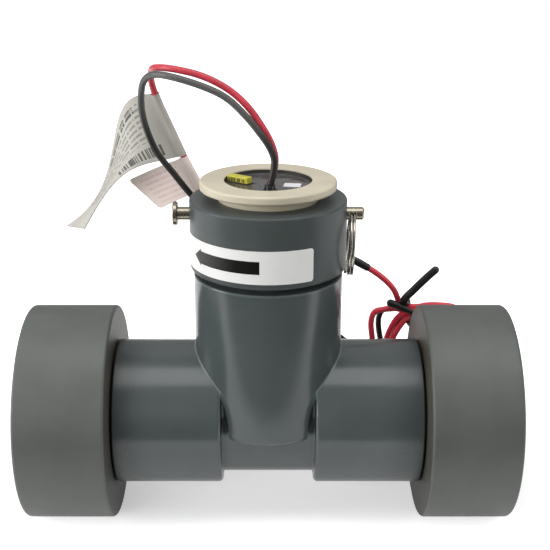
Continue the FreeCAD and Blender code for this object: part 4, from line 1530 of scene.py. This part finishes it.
@dataclass
class SensorTop:
    """What is seen in the insert's cup and on the collar: resin, sealant and the arrow."""

    cup_radius: float = 21.2
    resin_top: float = 119.6
    resin_foot: float = 96.0
    resin_sink: float = 0.1
    wall_climb: Pair = (2.2, 0.45)
    boot_climb: Pair = (0.5, 0.9)
    case_climb: Pair = (0.8, 0.5)
    ripples: Pair = (0.09, 0.05)
    case: CasePlace = CasePlace()
    boot_middle: Pair = (0.9, -11.8)
    boot_radius: float = 2.9
    boot_depth: float = 1.45
    boot_spread: Pair = (0.9, 0.5)
    boot_narrow: float = 0.55
    boot_swell: float = 0.07
    boot_pinch: float = 0.05
    boot_foot: float = -3.0
    boot_round: float = 3.0
    boot_top: float = 3.6
    label_radius: float = 38.25
    film: float = 0.04
    arrow_gap: float = 0.03
    arrow_height: float = 90.2
    arrow_half: float = 3.1
    arrow_head_half: float = 4.1
    arrow_ends: Pair = (-6.0, -64.0)
    arrow_head: float = -55.4

    @staticmethod
    def climb(size: Pair, gap: Array) -> Array:
        """Return a meniscus: its height and run, falling off exponentially with the gap to a wall."""
        return size[0] * np.exp(-np.maximum(gap, 0.0) / size[1])

    def resin(self) -> bpy.types.Object:
        """Make the resin: a disc that climbs at the cup's wall, the sealant and the case, and ripples.

        Height is the top plus a meniscus for each wall, a product of slow sines and a slow sine.

        Returns:
            The new piece.
        """
        share = np.concatenate([np.linspace(0.0, 0.8, 57), np.linspace(0.81, 1.0, 39)])
        turn = full_turn(240)
        radius, angle = np.meshgrid(share * self.cup_radius, turn, indexing="ij")
        x, y = radius * np.cos(angle), radius * np.sin(angle)
        along, aside = self.case.split(x, y)
        boot_gap = np.hypot(x - self.boot_middle[0], y - self.boot_middle[1]) - self.boot_radius
        case_gap = np.maximum(np.abs(along) - self.case.half[0], np.abs(aside) - self.case.half[1])
        height = self.resin_top - self.resin_sink + self.climb(self.wall_climb, self.cup_radius - radius)
        height = height + self.climb(self.boot_climb, boot_gap) + self.climb(self.case_climb, case_gap)
        height += self.ripples[0] * np.sin(x * 0.33 + 1.0) * np.sin(y * 0.27)
        height += self.ripples[1] * np.sin(x * 0.12 - y * 0.21)
        top = np.stack([x, y, height], -1)
        rim = np.stack([x[-1], y[-1], np.full(len(turn), self.resin_foot)], -1)
        foot = np.tile((0.0, 0.0, self.resin_foot), (len(turn), 1))
        piece = closed_piece("cup_resin_fill", np.concatenate([top, rim[None], foot[None]]))
        return settle(piece, RESIN, "potting_resin", "potting")

    def sealant(self) -> bpy.types.Object:
        """Make the sealant bead: a lathe profile, spread at its foot, narrower upwards and rounded on top.

        Its radius also swells and pinches with the angle, by sines of two and three turns.

        Returns:
            The new piece.
        """
        top = self.boot_top
        stretches = ((self.boot_foot, 0.0, 5), (0.15, top - 0.4, 22), (top - 0.3, top, 6))
        height = np.concatenate([np.linspace(*stretch) for stretch in stretches])
        share = np.clip(height / (top - 0.2), 0.0, 1.0)
        profile = self.boot_radius + self.climb(self.boot_spread, height) - self.boot_narrow * share
        rounded = top - self.boot_round
        crown = np.clip(height - self.boot_round, 0.0, rounded) / (rounded + 0.02)
        profile = profile * np.sqrt(np.clip(1.0 - crown**2, 0.0, 1.0))
        turn = full_turn(64)
        swell = 1.0 + self.boot_swell * np.cos(2 * turn - 1.2)[None, :] * share[:, None]
        swell = swell + self.boot_pinch * np.sin(3 * turn + 0.8)[None, :] * np.exp(-np.abs(height))[:, None]
        radius = profile[:, None] * swell
        points = np.stack([
            self.boot_middle[0] + radius * np.cos(turn),
            self.boot_middle[1] + radius * self.boot_depth * np.sin(turn),
            np.broadcast_to((self.resin_top + height)[:, None], radius.shape),
        ], -1)
        return settle(closed_piece("lead_sealant", capped(points)), SEALANT, "boot_sealant", "lead_boot")

    def arrow(self) -> bpy.types.Object:
        """Make the arrow: a film on the label's cylinder, its half height even, then falling at the head.

        Returns:
            The new piece.
        """
        start, end = self.arrow_ends
        body = np.linspace(start, self.arrow_head, 60)
        head = np.linspace(self.arrow_head, end, 14)
        fall = (head - end) / (self.arrow_head - end)
        halves = np.concatenate([np.full(len(body), self.arrow_half), self.arrow_head_half * fall])
        turn = np.radians(np.concatenate([body, head]))
        across = np.linspace(-1.0, 1.0, 9)
        height = self.arrow_height + halves[:, None] * across
        radius = self.label_radius + self.arrow_gap
        sides = (radius * np.sin(turn), -radius * np.cos(turn))
        x, y = (np.broadcast_to(side[:, None], height.shape) for side in sides)
        points = np.stack([x, y, height], -1)
        faces = [grid_faces(len(part), len(across)) for part in (body, head)]
        faces[1] += body.size * across.size
        piece = mesh_piece("flow_arrow", points, np.concatenate(faces))
        weld(piece)
        thicken(piece, "film", self.film)
        return settle(piece, ARROW_INK, "label_vinyl")


@dataclass
class RigidPieces:
    """The solid pieces that keep their shape from the frame and only take a finish."""

    def dress(self) -> int:
        """Give each solid piece its finish.

        Returns:
            How many pieces were dressed.
        """
        finishes = {
            "tee_body": TEE_GREY,
            "sensor_collar": COLLAR_GREY,
            "inlet_adapter": ADAPTER_GREY,
            "outlet_adapter": ADAPTER_GREY,
            "sensor_insert": CREAM,
            "clevis_pin": ZINC,
            "split_ring": NICKEL,
            "impeller": IMPELLER_BLACK,
            "impeller_bush": BUSH_WHITE,
            "impeller_targets": GROUND_STEEL,
            "impeller_shaft": GROUND_STEEL,
            "upper_o_ring": SEAL_RUBBER,
            "lower_o_ring": SEAL_RUBBER,
            "circuit_board": BOARD_GREEN,
            "pickup_coil": COIL_BROWN,
            "flow_label": LABEL_WHITE,
            "film_capacitor": CAPACITOR_YELLOW,
            "white_sticker": STICKER_WHITE,
        }
        for node, finish in finishes.items():
            finish.dress(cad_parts[node])
        return len(finishes)


@dataclass
class Studio:
    """The floor, the light and the camera, the places of the last two in metres."""

    camera_place: Point = (0.0, -0.5018, 0.3061)
    camera_tilt: float = 70.42
    lens: float = 70.65
    sensor: float = 36.0
    shift: float = 0.0124
    floor_front: float = -160.0
    floor_reach: float = 1600.0
    floor_drop: float = 0.1
    room: float = 0.13
    room_overhead: float = 0.32
    room_back: float = 0.2

    def floor(self) -> bpy.types.Object:
        """Make the floor: a flat grid that ends a little in front of the object.

        Returns:
            The new piece.
        """
        wide = np.linspace(-self.floor_reach, self.floor_reach, 5)
        deep = np.linspace(self.floor_front, self.floor_reach, 5)
        across, along = np.meshgrid(wide, deep, indexing="xy")
        points = np.stack([across, along, np.full(across.shape, -self.floor_drop - AXIS_HEIGHT)], -1)
        piece = mesh_piece("floor", points, grid_faces(*across.shape))
        FLOOR_WHITE.dress(piece)
        return piece

    def lamp(
        self,
        name: str,
        place: Point,
        aim: Point,
        size: Pair,
        power: float,
        mirrored: bool = True,
    ) -> None:
        """Add a soft rectangular lamp.

        Args:
            name: The lamp's name.
            place: Where it is.
            aim: Where it points.
            size: Its width and height.
            power: Its power in watts.
            mirrored: Whether it shows in reflections.
        """
        light = bpy.data.lights.new(name, "AREA")
        light.shape = "RECTANGLE"
        light.size, light.size_y = size
        light.energy = power
        lamp = bpy.data.objects.new(name, light)
        lamp.location = place
        way = np.array(aim) - np.array(place)
        flat = math.hypot(way[0], way[1])
        lamp.rotation_euler = (math.atan2(flat, -way[2]), 0.0, math.atan2(-way[0], way[1]))
        lamp.visible_glossy = mirrored
        bpy.context.scene.collection.objects.link(lamp)

    def light(self) -> None:
        """Set the world and the lamps: a white backdrop to the eye, and a dim room, paler overhead."""
        world = bpy.data.worlds.new("studio")
        bpy.context.scene.world = world
        world.use_nodes = True
        world.node_tree.nodes.clear()
        graph = Graph(world.node_tree)
        eye = graph.add("ShaderNodeLightPath", output="Is Camera Ray")
        _, back, up = graph.split(graph.add("ShaderNodeTexCoord", output="Generated"))
        room = self.room + up.rise(0.1, 0.9) * self.room_overhead + back.rise(-0.2, 0.6) * self.room_back
        backdrop = {"Color": (1.0, 1.0, 1.0, 1.0), "Strength": eye + (1.0 - eye) * room}
        shader = graph.add("ShaderNodeBackground", None, backdrop)
        graph.add("ShaderNodeOutputWorld", None, {"Surface": shader})
        self.lamp("overhead", (0.0, -0.18, 0.95), (0.0, -0.1, 0.0), (1.2, 0.5), 4.4)
        self.lamp("left", (-0.95, -0.2, 0.4), (0.0, 0.0, 0.12), (0.45, 0.8), 5.6)
        self.lamp("right", (0.95, -0.1, 0.4), (0.0, 0.0, 0.12), (0.3, 0.8), 1.7)
        self.lamp("front", (-0.5, -1.15, 0.5), (0.0, 0.0, 0.12), (1.0, 0.5), 6.6, mirrored=False)

    def camera(self) -> None:
        """Set the camera where the photograph was taken from."""
        lens = bpy.data.cameras.new("camera")
        lens.lens = self.lens
        lens.sensor_width = self.sensor
        lens.shift_x = self.shift
        camera = bpy.data.objects.new("camera", lens)
        camera.location = self.camera_place
        camera.rotation_euler = (math.radians(self.camera_tilt), 0.0, 0.0)
        bpy.context.scene.collection.objects.link(camera)
        bpy.context.scene.camera = camera
        bpy.context.scene.view_settings.view_transform = "Standard"


LARGE_TAG = Tag(
    "large_flag_tag",
    "large_tag",
    LARGE_PAPER,
    lead=((-56.4, 34.1, 157.6), (-43.6, 38.5, 125.2)),
    top=((-59.1, 33.4, 157.0), (-87.5, 42.0, 157.0), (-69.5, 51.0, 107.0), (-106.5, 43.0, 86.0)),
    foot=((-46.5, 38.0, 124.0), (-65.0, 25.0, 122.0), (-70.5, 7.0, 130.5), (-91.0, 9.0, 94.5)),
    flat=(37.5, 168.0),
)
SMALL_TAG = Tag(
    "small_flag_tag",
    "small_tag",
    SMALL_PAPER,
    lead=((-43.2, 38.6, 124.0), (-34.4, 41.7, 105.8)),
    top=((-45.9, 38.1, 122.9), (-54.5, 37.5, 120.1), (-63.1, 36.8, 116.4), (-71.7, 36.0, 112.4)),
    foot=((-37.0, 41.1, 104.8), (-43.0, 36.5, 103.3), (-49.0, 31.8, 101.6), (-55.1, 27.0, 100.0)),
    flat=(21.5, 60.0),
    curl=0.3,
    corner=2.0,
)


def main() -> None:
    """Build the studio and the pieces in order, and report each one."""
    logging.basicConfig(level=logging.INFO, format="%(name)s: %(message)s")
    studio = Studio()
    studio.camera()
    studio.light()
    LOG.info("studio: %s", studio.floor().name)
    leads = Leads()
    fittings = LeadFittings()
    riders = [fittings.sleeve(leads), fittings.tie(leads)]
    for piece in riders + leads.build(riders):
        LOG.info("lead piece: %s", piece.name)
    for tag in (LARGE_TAG, SMALL_TAG):
        LOG.info("tag: %s", tag.build(leads).name)
    top = SensorTop()
    for piece in (top.resin(), top.sealant(), top.arrow()):
        LOG.info("sensor top: %s", piece.name)
    LOG.info("solid pieces dressed: %d", RigidPieces().dress())


if __name__ == "__main__":
    main()
